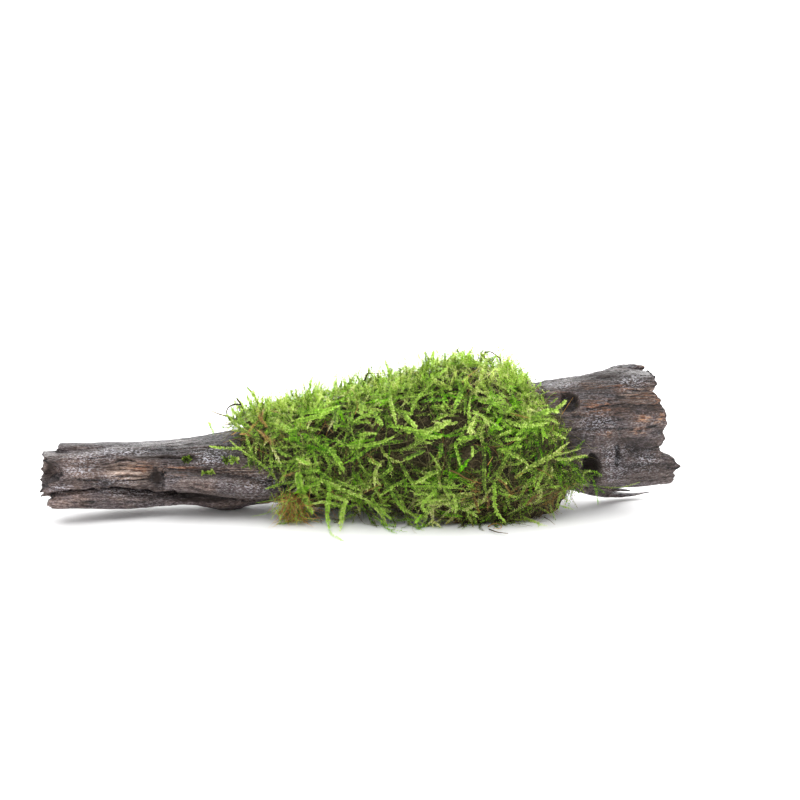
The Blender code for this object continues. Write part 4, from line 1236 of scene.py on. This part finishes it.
# Fronds from base to tip: tone, width in pixels, then their places in pixels
FRONDS_PX = (
    (0.78, 4.0, (246, 447.6), (237, 448.2), (227, 448.2), (218, 447.9), (209.7, 446.2)),
    (0.80, 3.6, (276, 479), (270.6, 473), (264, 466), (254.6, 459), (246.5, 454), (237, 447), (229.8, 440.5)),
    (0.66, 3.6, (258, 461), (255, 457), (252, 451), (249, 444.6), (245.9, 434.5)),
    (0.58, 4.2, (270, 444.6), (277, 448.6), (282, 453.3), (286, 456.6)),
    (0.62, 5.0, (258.6, 423.8), (268.6, 423.8), (278.7, 426.5), (285, 430.5)),
    (0.58, 4.0, (295, 473), (289, 468.7), (282, 464.7), (272, 466), (265, 468)),
    (0.66, 3.2, (295, 481), (285, 483.4), (275, 485.4), (266, 488.8)),
    (0.58, 2.5, (307, 446.6), (299, 446.6), (284, 447.2)),
    (0.80, 8.5, (297, 468), (299, 478.7), (301, 488.8), (305.5, 500), (312, 512.5)),
    (0.90, 6.0, (300, 489), (304, 495), (307, 501.6), (311.4, 509)),
    (0.60, 2.0, (308, 511), (312, 515), (315.4, 519.7), (319, 523)),
    (0.66, 6.0, (322, 443), (329.5, 448.7), (335, 455.4), (339, 462), (343.5, 469.5)),
    (0.60, 2.6, (333.5, 456), (325.5, 453.7), (313, 456), (301, 459.4)),
    (0.80, 5.0, (296, 456), (304, 462), (309, 464)),
    (0.58, 4.2, (404, 441), (394, 441.7), (380, 444), (369, 447.4), (364, 452), (357.6, 457.4), (345, 463)),
    (0.74, 5.0, (347, 447), (357, 445.8), (367, 445.8), (377, 443), (385.7, 440.4), (393, 437)),
    (0.78, 4.0, (357.6, 436.4), (364, 433.7), (376.4, 434)),
    (0.74, 5.0, (367, 458.5), (373, 461.4), (380.4, 465.5)),
    (0.52, 3.0, (369.7, 476), (365.6, 483.5), (364, 493)),
    (0.58, 5.0, (380, 479), (384, 474), (392.4, 468)),
    (0.84, 5.5, (305, 477.5), (317, 479.5), (325.5, 481.5), (335, 485.5), (347, 491.6), (357, 495),
     (369, 501)),
    (0.60, 4.5, (332, 479.5), (341.5, 483), (351, 487), (360.3, 491)),
    (0.66, 4.0, (300, 472), (308.7, 472), (318.8, 470)),
    (0.92, 5.8, (329.5, 481.5), (329.5, 491), (328.8, 500), (326.8, 513.7), (328.8, 524.4), (329, 529)),
    (1.00, 3.6, (328.8, 522), (329.5, 530), (331, 535), (336, 537), (343.5, 541)),
    (1.06, 6.4, (348, 501), (344, 504), (342, 517), (340, 530)),
    (1.00, 4.5, (343, 506), (333.5, 503), (321, 502), (313, 503.6)),
    (0.94, 5.5, (330, 494), (340, 499), (348, 501.6)),
    (0.72, 4.0, (371, 497), (375.7, 504), (381.7, 511), (391, 519)),
    (0.68, 5.0, (405, 480), (397, 484), (389, 489), (380.4, 495.6)),
    (0.60, 4.5, (383, 481.5), (390, 489.6), (396, 499.6), (400.5, 507), (404.5, 512)),
    (0.70, 3.0, (373.7, 516), (380, 521), (386, 523), (387, 527)),
    (0.44, 3.0, (392, 519), (397, 520.4), (405, 519.7), (416, 519.7)),
    (0.84, 5.0, (296, 413.5), (310, 412.3), (320, 411), (330, 409.6), (340, 405.6)),
    (0.74, 5.5, (294, 421.5), (310, 418), (320, 415.6), (328, 413)),
    (0.76, 4.0, (300, 400.5), (310, 399.6), (320, 398)),
    (0.52, 5.5, (334, 408), (335.5, 417), (335.5, 423.7), (335, 430)),
    (0.68, 6.0, (361, 398), (362, 407), (360.5, 413)),
    (0.78, 3.2, (364, 408), (373.7, 409), (382.4, 410.3)),
    (0.82, 5.0, (387.7, 380), (389.8, 393.5), (391.8, 407), (394.4, 415.6), (396, 423)),
    (0.68, 6.0, (374, 412), (377.7, 419), (381.7, 424)),
    (0.66, 3.0, (341.5, 416), (347, 416.3), (351.6, 420.3)),
    (0.64, 4.0, (350, 420), (360, 421.7), (369.7, 422.7)),
    (0.62, 3.0, (333.5, 437.7), (340, 441.8), (344, 446.4)),
    (0.80, 4.5, (385.7, 427), (394, 425.7), (405, 427.7), (416, 430)),
    (0.74, 3.0, (304, 441), (308, 439.8), (317.4, 439)),
    (0.86, 6.0, (404, 412.6), (407, 418.7), (412, 422.7), (416, 427)),
    (0.72, 6.0, (403, 431), (413, 431), (420, 431.4), (430, 432.5)),
    (0.80, 5.5, (413, 434), (426.8, 436.8), (436, 437.6), (441.5, 436.4)),
    (0.84, 6.0, (434, 432), (440, 427.4), (444, 424.5), (449.6, 420.7)),
    (0.74, 3.5, (416, 437.4), (423, 440.8), (432, 444)),
    (0.64, 6.5, (459, 382.5), (461.6, 390.5), (459, 398.6), (455, 408.5)),
    (0.52, 5.0, (421, 402), (430, 399.3), (440, 399.3), (447, 400.6)),
    (0.60, 4.5, (430, 408), (437.5, 406), (445.5, 409.3)),
    (0.78, 4.0, (433.5, 420), (440, 417.3), (447.6, 414.7)),
    (0.82, 3.0, (495, 418), (484, 418), (479, 414.7), (473.7, 410.6)),
    (0.76, 5.0, (489, 428), (495, 427.6), (502, 428.4)),
    (0.66, 5.0, (480, 437), (467, 437.4), (457.6, 439.4)),
    (0.54, 5.0, (425.5, 450), (416.7, 454), (406.7, 459)),
    (0.58, 4.0, (400, 462), (406, 473.5), (412.7, 483), (416, 489.6)),
    (0.82, 2.6, (429.5, 452.7), (436, 461.4), (441, 470)),
    (0.74, 6.0, (441, 470.8), (430, 474), (423, 479.5), (416.7, 483)),
    (0.48, 5.0, (441.5, 442.7), (441, 450), (440, 456.4)),
    (0.74, 4.0, (455, 441), (456.3, 450), (458.3, 456.7), (460.3, 465)),
    (0.88, 4.0, (472.3, 446), (472.5, 451), (472.3, 456)),
    (0.46, 5.0, (483, 446), (484.4, 460), (484.4, 473.5), (483.7, 483.5), (487, 495)),
    (0.94, 3.0, (400, 486), (420, 486.2), (433.5, 486.2), (447, 488), (457, 487.6), (464.3, 489)),
    (0.90, 3.0, (420, 482), (424, 483), (430, 483.5)),
    (0.68, 4.0, (415.4, 489), (422, 493), (428.8, 495.6)),
    (0.92, 6.0, (437, 489), (432, 493.6), (426.8, 499), (422, 504.3), (421, 508.3), (426.8, 511.7)),
    (0.84, 2.6, (424, 500.5), (434, 500.3), (443.5, 500.3)),
    (0.84, 2.6, (425, 501.5), (431, 502.5), (438.8, 505)),
    (0.84, 2.4, (426, 496), (422, 493.8), (418, 494.5)),
    (0.84, 2.4, (425, 500), (421, 499.8), (417.5, 500.5)),
    (0.80, 3.0, (443, 487), (447, 493.6), (449.6, 498.3)),
    (0.70, 3.0, (447, 489), (452, 493.6), (455, 496.3)),
    (0.62, 3.0, (441.5, 477.5), (449.6, 482), (456.3, 486)),
    (0.96, 6.0, (494.4, 482), (495, 491), (494.4, 500.3), (495.8, 509.7), (499, 515.7), (504.5, 521)),
    (0.74, 3.0, (497, 492), (505, 495), (516.5, 497)),
    (0.60, 4.0, (493, 470.8), (497.8, 475.5), (507, 483.3)),
    (0.82, 4.0, (422.8, 513.5), (420, 517.7), (415.5, 522.5)),
    (0.78, 3.0, (529, 405.8), (537.5, 406), (547.5, 405.6)),
    (0.60, 3.0, (546, 406), (551, 403.5), (557, 398.8)),
    (0.74, 7.0, (533.5, 415.5), (541.5, 413.5), (551, 410), (557.5, 411.5)),
    (0.96, 5.0, (555, 409), (561.6, 405), (565.4, 401)),
    (0.84, 3.2, (529, 421.5), (540, 418), (551, 419.5), (559, 423.5)),
    (0.80, 5.5, (505, 419.5), (516.7, 425.5), (526.8, 426), (537.5, 425), (547.5, 422.7)),
    (0.80, 4.0, (541.5, 430), (547, 437.6)),
    (0.82, 4.5, (551, 431), (560, 435.6), (564.6, 438.6)),
    (0.80, 4.0, (498, 437), (505, 433), (510.5, 430.7)),
    (0.72, 5.0, (504, 440), (512, 439.4), (519.6, 438.8)),
    (0.68, 4.0, (513.4, 444.3), (520.8, 446.6)),
    (0.64, 4.6, (498, 450.5), (510, 452.3), (516.7, 455.7), (523.4, 460.4), (528, 465)),
    (0.74, 6.0, (515, 478.5), (523, 472), (530, 467), (537.5, 463), (547, 459), (555.6, 454), (560, 450),
     (567.7, 443)),
    (0.92, 2.6, (552, 456.5), (564, 453), (572, 451), (580.4, 448.7)),
    (0.88, 4.0, (553, 458.6), (567, 459.7), (577, 457), (586.4, 455.4)),
    (0.58, 3.2, (572, 464.4), (577, 471), (583.7, 479), (588.5, 487)),
    (0.78, 2.4, (588, 484), (600, 486.5), (612, 488), (625, 487), (640, 482)),
    (0.66, 4.0, (500, 395), (492, 403), (487, 412)),
    (0.70, 5.0, (486, 398), (494, 404), (503, 402)),
    (0.76, 3.0, (548, 487.5), (554, 487), (559.5, 486)),
    (0.74, 3.0, (555, 504.5), (564, 506.5), (573, 509.4)),
    (0.86, 3.0, (425.5, 364), (425.5, 354), (424, 346.3)),
    (0.88, 5.5, (433.5, 368), (432.8, 358.4), (433.5, 351)),
    (0.56, 2.8, (444.5, 364), (445, 357), (445.5, 351)),
    (0.66, 3.0, (446, 364), (449.6, 358.4), (453.6, 353.7)),
    (0.86, 3.5, (461, 363), (462.3, 356.4), (464.5, 349.5)),
    (0.80, 3.0, (463, 361), (468.3, 353.7), (472.5, 348.8)),
    (0.84, 4.0, (391, 380), (387.7, 366.7), (385, 360)),
    (0.58, 3.0, (389, 377), (386.4, 373.4), (379, 365.4)),
    (0.82, 3.0, (356, 382), (360, 368.8), (362.3, 362)),
    (0.56, 2.2, (341.5, 386), (339.5, 373.4), (338.8, 366.7)),
    (0.30, 2.2, (338, 389), (336, 382), (334, 373.4)),
    (0.84, 4.0, (309.4, 396), (310, 383.5), (312.7, 377.5)),
    (0.40, 2.2, (311, 387), (308.7, 383.5), (302.7, 379.5)),
    (0.60, 3.6, (263, 412), (259, 404), (254, 396), (250.5, 391), (245.5, 385.5)),
    (0.62, 4.0, (494, 366), (491, 361), (496, 356)),
    (0.92, 3.8, (214, 434), (211.5, 428), (208.5, 421)),
    (0.78, 4.6, (256, 432), (247, 426), (239, 418), (232, 409)),
    (0.84, 4.4, (258, 426), (250, 419), (244, 410), (240, 401)),
    (0.70, 4.6, (250, 434), (242, 430), (234, 424), (227, 415)),
    (0.88, 4.2, (262, 420), (255, 412), (250, 403), (247, 395)),
    (0.60, 4.4, (254, 436), (245, 431), (237, 426), (231, 419)),
    (0.80, 4.2, (266, 416), (260, 407), (256, 399), (253, 391)),
    (0.66, 4.4, (252, 430), (244, 425), (237, 421), (229, 420)),
    (0.74, 4.2, (262, 424), (254, 417), (247, 411), (238, 406)),
    (0.56, 4.2, (256, 438), (248, 434), (240, 431), (232, 430)),
)

# Dead fronds, in the same way
DEAD_FRONDS_PX = (
    (0.74, 3.2, (268, 428), (263, 422), (259, 414), (258, 407)),
    (0.66, 3.0, (272, 446), (268, 440), (262, 434), (257, 430)),
    (0.58, 2.8, (283, 416), (278, 412), (272, 411)),
    (0.70, 2.8, (252, 436), (246, 434), (240, 434)),
    (0.50, 3.0, (300, 470), (292, 474), (284, 476)),
    (0.56, 3.0, (497, 478), (505, 484), (510, 492)),
    (0.60, 2.6, (520, 486), (514, 490), (508, 498)),
    (0.50, 3.0, (540, 494), (532, 498), (526, 506)),
    (0.54, 2.8, (556, 498), (548, 503), (540, 506)),
    (0.72, 2.4, (510, 413.5), (516.7, 415), (523.4, 416.8), (529.5, 418)),
    (0.70, 3.0, (264, 424), (259, 418), (256.6, 409), (261, 406.5)),
    (0.76, 2.6, (262, 420), (262.5, 413), (264, 408)),
    (0.74, 3.0, (259, 419.8), (255, 424), (250, 429.5), (248, 433)),
    (0.66, 2.6, (260, 429), (264, 435), (269, 438), (271, 441)),
    (0.62, 3.0, (262.6, 431), (266.6, 438), (264, 443)),
    (0.66, 2.2, (470, 487), (474, 491.6), (480.4, 491.6)),
    (0.52, 4.0, (472, 493.6), (475.7, 502.3), (479, 512.3)),
    (0.46, 3.0, (486, 492), (489, 500), (488, 510)),
    (0.60, 2.4, (514, 480), (517, 476), (523, 473)),
    (0.50, 2.4, (365, 452), (371, 457), (374, 463)),
)

# Bare stems: colour value, thickness in pixels, then their places
STEMS_PX = (
    (0.30, 2.7, (236, 420), (226, 416), (220, 414.8), (213, 411.7), (206, 408.7)),
    (0.10, 2.6, (241, 405), (233.8, 404.4), (227.8, 407.7), (226.4, 413), (229, 418.4), (234, 425)),
    (0.36, 2.5, (483.7, 358), (484, 352.5), (490.4, 351), (496.4, 355), (501, 359.7), (499, 367)),
    (0.46, 2.0, (511, 372), (509.8, 365.4), (505.8, 353.4)),
    (0.12, 2.4, (482, 353), (486.4, 361.7), (490, 370)),
    (0.08, 1.8, (364, 505), (371, 515.7), (374.4, 520.4), (377, 527.7)),
    (0.12, 1.3, (352, 509), (357, 513.7), (360.5, 515.7)),
    (0.10, 1.7, (449, 519), (441.5, 518.5), (435, 519.7), (431.5, 523.7)),
    (0.95, 1.3, (462, 382), (470, 375), (479, 368)),
    (0.80, 1.1, (562, 414), (567.6, 405.5), (573, 397.4)),
    (0.88, 1.1, (487.7, 465), (493, 456.7)),
    (0.70, 1.7, (246, 428.5), (238.5, 431), (231, 435.2)),
    (0.18, 2.2, (364, 381), (366.3, 375), (367.7, 373), (375.7, 373), (384, 373.6)),
    (0.78, 1.4, (488, 526.5), (493, 523.5), (499, 523.5), (502.5, 526.5), (500, 529), (493, 528.6)),
    (0.28, 1.8, (489, 529), (497, 532), (508, 533.4)),
    (0.66, 1.2, (364, 493), (375, 487), (380, 484)),
    (0.55, 2.0, (449.6, 470), (457.6, 473), (465.6, 478), (473.7, 481), (482, 483.5)),
    (0.34, 1.1, (544, 517), (549, 519.5), (555, 524.8)),
    (0.30, 1.6, (446, 440), (445.5, 456.7), (443, 472), (439.5, 480)),
    (0.16, 2.4, (237, 398), (241, 404), (244, 412)),
    (0.85, 1.1, (355, 414), (357, 409), (358.3, 403.6)),
    (0.60, 1.2, (536, 468), (545, 472), (553, 478)),
)

# A frond is this many leaves wide, its stem this share of a leaf thick, and it is a little darker than its
# row says. Then how much fronds roll, and the middle and spread of their hue.
FROND_WIDTH_IN_LEAVES, FRONT_STEM, FRONT_DARKER = 1.60, 0.12, 0.05
FRONT_ROLL, FRONT_HUE = 0.28, (-0.3, 0.35)
STRAW_PALER = 0.08

# The number of leaf pairs by a frond's length in millimetres: its least, its most, and the pairs
PAIRS_BY_LENGTH = ((0, 8, 13), (8, 14, 22), (14, 99, 36))

# How far fronds, dead fronds and stems lie before what is behind them, and how much further at their tips
BASE_LIFT, DEAD_LIFT, STEM_LIFT = 1.2, 2.4, 1.0
TIP_LIFT, STEM_TIP_LIFT, LIFT_POWER = 2.6, 1.2, 0.7
FROND_STEPS, STEM_STEPS = 12, 16


def grid_faces(rows, columns):
    """The four-sided faces of a grid of points."""
    k = np.arange(rows * columns).reshape(rows, columns)
    return np.stack([k[:-1, :-1], k[1:, :-1], k[1:, 1:], k[:-1, 1:]], axis=-1).reshape(-1, 4).tolist()


SHEET_SIZE, SHEET_HEIGHT = (90, 110), 0.4
sheet_x = np.linspace(-53, 84, SHEET_SIZE[0])
sheet_angle = np.radians(np.linspace(-60, 236, SHEET_SIZE[1]))
x, angle = np.meshgrid(sheet_x, sheet_angle, indexing="ij")
sheet = on_mat(x, angle, np.full(x.shape, SHEET_HEIGHT))
mat_surface = BVHTree.FromPolygons(sheet.reshape(-1, 3).tolist(), grid_faces(*SHEET_SIZE))
wood_surface = BVHTree.FromObject(wood, bpy.context.evaluated_depsgraph_get())


def landed(px, py):
    """Where lines of sight end: on the mat, on the wood or on the ground, whichever is first. One that passes
    over them ends as far from the eye as the one before it."""
    ends, depth = [], CAMERA_AWAY
    for line in sight_line(px, py):
        spots = [mat_surface.ray_cast(EYE, line)[0]]
        on_wood = wood_surface.ray_cast((EYE + WOOD_ORIGIN) * MM, line)[0]
        spots.append(on_wood and Vector(on_wood) / MM - Vector(WOOD_ORIGIN))
        depths = [(np.array(spot) - EYE) @ SIGHT for spot in spots if spot]
        depth = min(depths) if depths else depth
        ends.append(min(depth, (GROUND_GAP - EYE[2]) / min(line[2], -1e-6)))
    return EYE + sight_line(px, py) * np.array(ends)[:, None]


def placed(rows, steps, tip_lift, base_lift):
    """Midlines through rows of places in the photograph, on smooth curves, lifted towards the eye, more so
    towards the tip."""
    paths = []
    smooth = np.array([1, 2, 1]) / 4
    for row in rows:
        spots = np.array(row[2:])
        length = np.append(0, np.cumsum(np.hypot(*np.diff(spots, axis=0).T)))
        t = np.linspace(0, length[-1], steps)
        px, py = (np.interp(t, length, v) for v in spots.T)
        for v in (px, py):
            v[1:-1] = np.convolve(v, smooth, "valid")
        depth = (landed(px, py) - EYE) @ SIGHT
        depth[1:-1] = np.convolve(depth, smooth, "valid")
        depth -= tip_lift * np.linspace(0.0, 1.0, steps) ** LIFT_POWER + base_lift
        paths.append(EYE + sight_line(px, py) * depth[:, None])
    paths = np.array(paths)
    paths[..., 2] = np.maximum(paths[..., 2], GROUND_GAP)
    return paths


def columns(rows):
    """The first two numbers of each row, as two arrays."""
    return np.array([row[:2] for row in rows]).T


rng = np.random.default_rng(51)
parts = []
for rows, shades, base_lift in ((FRONDS_PX, LIVING, BASE_LIFT), (DEAD_FRONDS_PX, DEAD, DEAD_LIFT)):
    path = placed(rows, FROND_STEPS, TIP_LIFT, base_lift)
    tones, widths = columns(rows)
    leaf_sizes = widths / PX_PER_MM / FROND_WIDTH_IN_LEAVES
    frame = framed(path, -SIGHT, rng.normal(0, FRONT_ROLL, len(rows)))
    hue = rng.normal(*FRONT_HUE, len(rows))
    lengths = np.linalg.norm(np.diff(path, axis=1), axis=-1).sum(1)
    for shortest, longest, pairs in PAIRS_BY_LENGTH:
        of = (lengths >= shortest) & (lengths < longest)
        mine, leaf, tone = [v[of] for v in frame], leaf_sizes[of], tones[of] - FRONT_DARKER
        parts += leaves_and_stems(path[of], mine, pairs, leaf, tone, shades, rng, hue[of], FRONT_STEM)
path = placed(STEMS_PX, STEM_STEPS, STEM_TIP_LIFT, STEM_LIFT)
tones, widths = columns(STEMS_PX)
frame = framed(path, -SIGHT, np.zeros(len(path)))
parts.append(stemmed(path, frame, widths / PX_PER_MM / 2, tones + STRAW_PALER, DEAD))
gathered("moss_front_fronds", parts, living_look)


# The moss blades, roots and old stems
# Short blades stand up along the top and spread like small forks. Old stems without leaves wind through the
# felt, and a tuft of brown rootlets hangs down at the left where the mat has let go of the wood.

# Blades: how many, and where they start, as x, angle in degrees and height above the mat. Then which way they
# rise, how much of that is outwards, how much it differs, bends and rolls, and how long the two of a fork
# are.
BLADES, BLADES_X, BLADES_ANGLE, BLADES_HEIGHT = 380, (-52, 72), (62, 128), -1.2
RISE, RISE_OUTWARDS, RISE_SPREAD, BLADE_BEND, BLADE_ROLL = (0, -0.1, 0.9), 0.4, 0.46, 0.16, 0.8
BLADE_LENGTH, FORK_SHARES = (5.5, 13.0), (1.0, 0.7)
BLADE_TONE, BLADE_LEAF, BLADE_PAIRS, BLADE_STEPS, BLADE_HUE = (0.26, 0.95), (0.50, 1.05), 13, 6, (0.2, 0.4)
# Where the blades are paler, painted light where the light falls most at the top right: centre, radii and
# strength, in pixels
PAINTED_LIGHT_BLADES_PX = ((515, 370, 40, 20, 0.18),)

rng = np.random.default_rng(61)
x = rng.uniform(*BLADES_X, BLADES)
angle = np.radians(rng.uniform(*BLADES_ANGLE, BLADES))
base = on_mat(x, angle, np.full(BLADES, BLADES_HEIGHT))
outwards = unit(on_mat(x, angle, np.full(BLADES, 2.0)) - base)
painted_light = patch(*seen(base), PAINTED_LIGHT_BLADES_PX)
parts = []
for share in FORK_SHARES:
    direction = unit(RISE + RISE_OUTWARDS * outwards + rng.normal(0, RISE_SPREAD, (BLADES, 3)))
    length = rng.uniform(*BLADE_LENGTH, BLADES) * share
    path = shooting(base, direction, rng.normal(0, BLADE_BEND, (BLADES, 3)), length, BLADE_STEPS)
    frame = framed(path, -SIGHT, rng.normal(0, BLADE_ROLL, BLADES))
    tones = rng.uniform(*BLADE_TONE, BLADES) + painted_light
    sizes = rng.uniform(*BLADE_LEAF, BLADES)
    hue = rng.normal(*BLADE_HUE, BLADES)
    parts += leaves_and_stems(path, frame, BLADE_PAIRS, sizes, tones, LIVING, rng, hue)
gathered("moss_top_blades", parts, living_look)


def bare_stems(path, up, thick, tone, shades, other_shades, other_share):
    """Stems without leaves on the midlines, of which a share, picked at random, has other colours."""
    count = len(path)
    frame = framed(path, up, np.zeros(count))
    thick, tones = rng.uniform(*thick, count), rng.uniform(*tone, count)
    other = rng.random(count) < other_share
    return [
        stemmed(path[of], [v[of] for v in frame], thick[of], tones[of], colours)
        for of, colours in ((~other, shades), (other, other_shades))
    ]


# Old stems: how many, where along the wood, how high they start and end, how they curl, how long they are,
# and how they waver. Then how thick they are, their tone and the share of dead ones.
STEMS, STEMS_X, STEMS_LOW, STEMS_HIGH = 1200, (-50, 80), (-3.0, -1.2), (-1.8, 1.2)
STEMS_CURL, STEMS_LENGTH, STEMS_WAVER, STEMS_WAVER_SIZE = 2.4, (9, 20), 0.8, 3.0
STEMS_THICK, STEMS_TONE, STEMS_DEAD = (0.09, 0.2), (0.18, 0.78), 0.25
x = rng.uniform(*STEMS_X, STEMS)
back, front = np.radians(mat_reach(x))
angle = back + (front - back) * rng.random(STEMS)
low, high = rng.uniform(*STEMS_LOW, STEMS), rng.uniform(*STEMS_HIGH, STEMS)
heading, curl = rng.uniform(0, 6.3, STEMS), rng.normal(0, STEMS_CURL, STEMS)
path, up = creeping(x, angle, heading, curl, rng.uniform(*STEMS_LENGTH, STEMS), low, high)
anywhere = rng.uniform(*ANYWHERE, (STEMS, 1, 3))
path += STEMS_WAVER * noise(path / STEMS_WAVER_SIZE + anywhere, 33)[..., None] * up
parts = bare_stems(path, up, STEMS_THICK, STEMS_TONE, FADED, DEAD, STEMS_DEAD)

# Rootlets: how many, the middle and spread of their places along the wood, and where they start across it and
# up. Then which way they hang, how much that differs and bends, and how long they are. Then how thick they
# are, their tone, the share of living ones, and the steps of each.
ROOTLETS, ROOTS_X, ROOTS_Y, ROOTS_Z, LOWEST_ROOT = 520, (-27.0, 3.0), (-23, -16), (3.5, 12.5), 1.2
ROOTS_HANG, ROOTS_SPREAD, ROOTS_BEND, ROOTS_LENGTH = (0.05, -0.25, -0.75), (0.55, 0.4, 0.5), 0.55, (2.5, 7.5)
ROOTS_THICK, ROOTS_TONE, ROOTS_LIVING, ROOTS_STEPS = (0.09, 0.22), (0.55, 1.15), 0.3, 8
base = np.stack([
    rng.normal(*ROOTS_X, ROOTLETS), rng.uniform(*ROOTS_Y, ROOTLETS), rng.uniform(*ROOTS_Z, ROOTLETS),
], axis=-1)
direction = unit(rng.normal(ROOTS_HANG, ROOTS_SPREAD, (ROOTLETS, 3)))
bend = rng.normal(0, ROOTS_BEND, (ROOTLETS, 3))
path = shooting(base, direction, bend, rng.uniform(*ROOTS_LENGTH, ROOTLETS), ROOTS_STEPS)
path[..., 2] = np.maximum(path[..., 2], LOWEST_ROOT)
parts += bare_stems(path, -SIGHT, ROOTS_THICK, ROOTS_TONE, DEAD, LIVING, ROOTS_LIVING)
gathered("moss_stems_and_roots", parts, living_look)


# The sprigs on bare wood
# Three small sprigs of the same moss that have taken hold by themselves on the wood left of the mat. Each is
# two tufts of short fronds that fan out from one spot.

# For each tuft: its place in pixels, how far it reaches and its tone
SPRIGS_PX = (
    ("sprig_on_crack", ((186.0, 459.5, 2.4, 0.20), (191.0, 458.5, 1.8, 0.30))),
    ("sprig_on_lobe", ((206.0, 474.0, 2.0, 0.60), (211.0, 473.0, 2.2, 0.66))),
    ("sprig_near_mat", ((227.0, 460.5, 2.4, 0.22), (235.0, 459.5, 2.2, 0.66))),
)
TUFT_FRONDS, TUFT_STEPS, TUFT_PAIRS, TUFT_LIFT = 6, 6, 8, 0.1

# How the fronds of a tuft differ round the fan, how far they lean to the front and rise, and then their
# reach as a share of the tuft's, their bend, roll, spread of tone and leaf size
FAN_SPREAD, FAN_FRONT, FAN_RISE = 0.35, -0.35, 0.7
TUFT_REACH, TUFT_BEND, TUFT_ROLL, TUFT_TONES, TUFT_LEAF = (0.6, 1.1), 0.2, 0.5, 0.12, (0.8, 1.2)

for number, (node, tufts) in enumerate(SPRIGS_PX):
    rng = np.random.default_rng(71 + number)
    parts = []
    for px, py, reach, tone in tufts:
        count = TUFT_FRONDS
        base = np.tile(landed(np.array([px]), np.array([py]))[0] - TUFT_LIFT * SIGHT, (count, 1))
        fan = np.linspace(0, 2 * np.pi, count, endpoint=False) + rng.normal(0, FAN_SPREAD, count)
        direction = np.stack([np.cos(fan), np.full(count, FAN_FRONT), FAN_RISE * np.sin(fan)], axis=-1)
        reaches = reach * rng.uniform(*TUFT_REACH, count)
        path = shooting(base, direction, rng.normal(0, TUFT_BEND, (count, 3)), reaches, TUFT_STEPS)
        frame = framed(path, -SIGHT, rng.normal(0, TUFT_ROLL, count))
        tones = tone + rng.normal(0, TUFT_TONES, count)
        sizes = rng.uniform(*TUFT_LEAF, count)
        parts += leaves_and_stems(path, frame, TUFT_PAIRS, sizes, tones, LIVING, rng)
    sprig = gathered(node + "_moss", parts, living_look)
    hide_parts(node)


# The stage
# A pale paper floor that runs up behind as a curved sheet. A wide soft light hangs above, a weak one fills in
# from the left in front, and one lights the paper behind. The sizes of the stage are in metres.
STAGE_HALF_WIDTH = 2.5
STAGE_FRONT, STAGE_BEND, STAGE_BACK, STAGE_TOP = -2.5, 1.2, 2.0, 3.0
BEND_STEPS = 13
PAPER, PAPER_ROUGHNESS = (0.80, 0.80, 0.80, 1), 0.9
WORLD_LIGHT = 0.14

# Lamps: name, place, what they point at, width and power in watts
LAMPS = (
    ("top_light", (0.10, 0.26, 0.95), (0.0, 0.0, 0.03), 3.4, 79.0),
    ("front_fill", (-0.5, -1.25, 0.55), (0.0, 0.0, 0.03), 1.1, 6.0),
    ("backdrop_light", (0.0, 0.75, 1.3), (0.0, 2.0, 0.6), 1.8, 90.0),
)

bend = np.linspace(0, np.pi / 2, BEND_STEPS)
bend_size = STAGE_BACK - STAGE_BEND
curve_y = np.concatenate([[STAGE_FRONT], STAGE_BEND + bend_size * np.sin(bend), [STAGE_BACK]])
curve_z = np.concatenate([[0.0], bend_size * (1 - np.cos(bend)), [STAGE_TOP]])
across = np.repeat((-STAGE_HALF_WIDTH, 0.0, STAGE_HALF_WIDTH), len(curve_y))
points = np.stack([across, np.tile(curve_y, 3), np.tile(curve_z, 3)], axis=-1)
floor_mesh = bpy.data.meshes.new("floor")
floor_mesh.from_pydata(points.tolist(), [], grid_faces(3, len(curve_y)))
floor_mesh.shade_smooth()
floor = shown("floor", floor_mesh)
paper, tree, shader = material("white_paper")
shader.inputs["Base Color"].default_value = PAPER
shader.inputs["Roughness"].default_value = PAPER_ROUGHNESS
floor_mesh.materials.append(paper)

for name, place, aim, size, power in LAMPS:
    lamp = bpy.data.lights.new(name, "AREA")
    lamp.shape = "DISK"
    lamp.size = size
    lamp.energy = power
    light = shown(name, lamp)
    light.location = place
    light.rotation_euler = (Vector(aim) - light.location).to_track_quat("-Z", "Y").to_euler()
world = bpy.data.worlds.new("studio")
world.use_nodes = True
background = world.node_tree.nodes["Background"]
background.inputs["Color"].default_value = (1, 1, 1, 1)
background.inputs["Strength"].default_value = WORLD_LIGHT
bpy.context.scene.world = world
bpy.context.scene.view_settings.view_transform = "Standard"
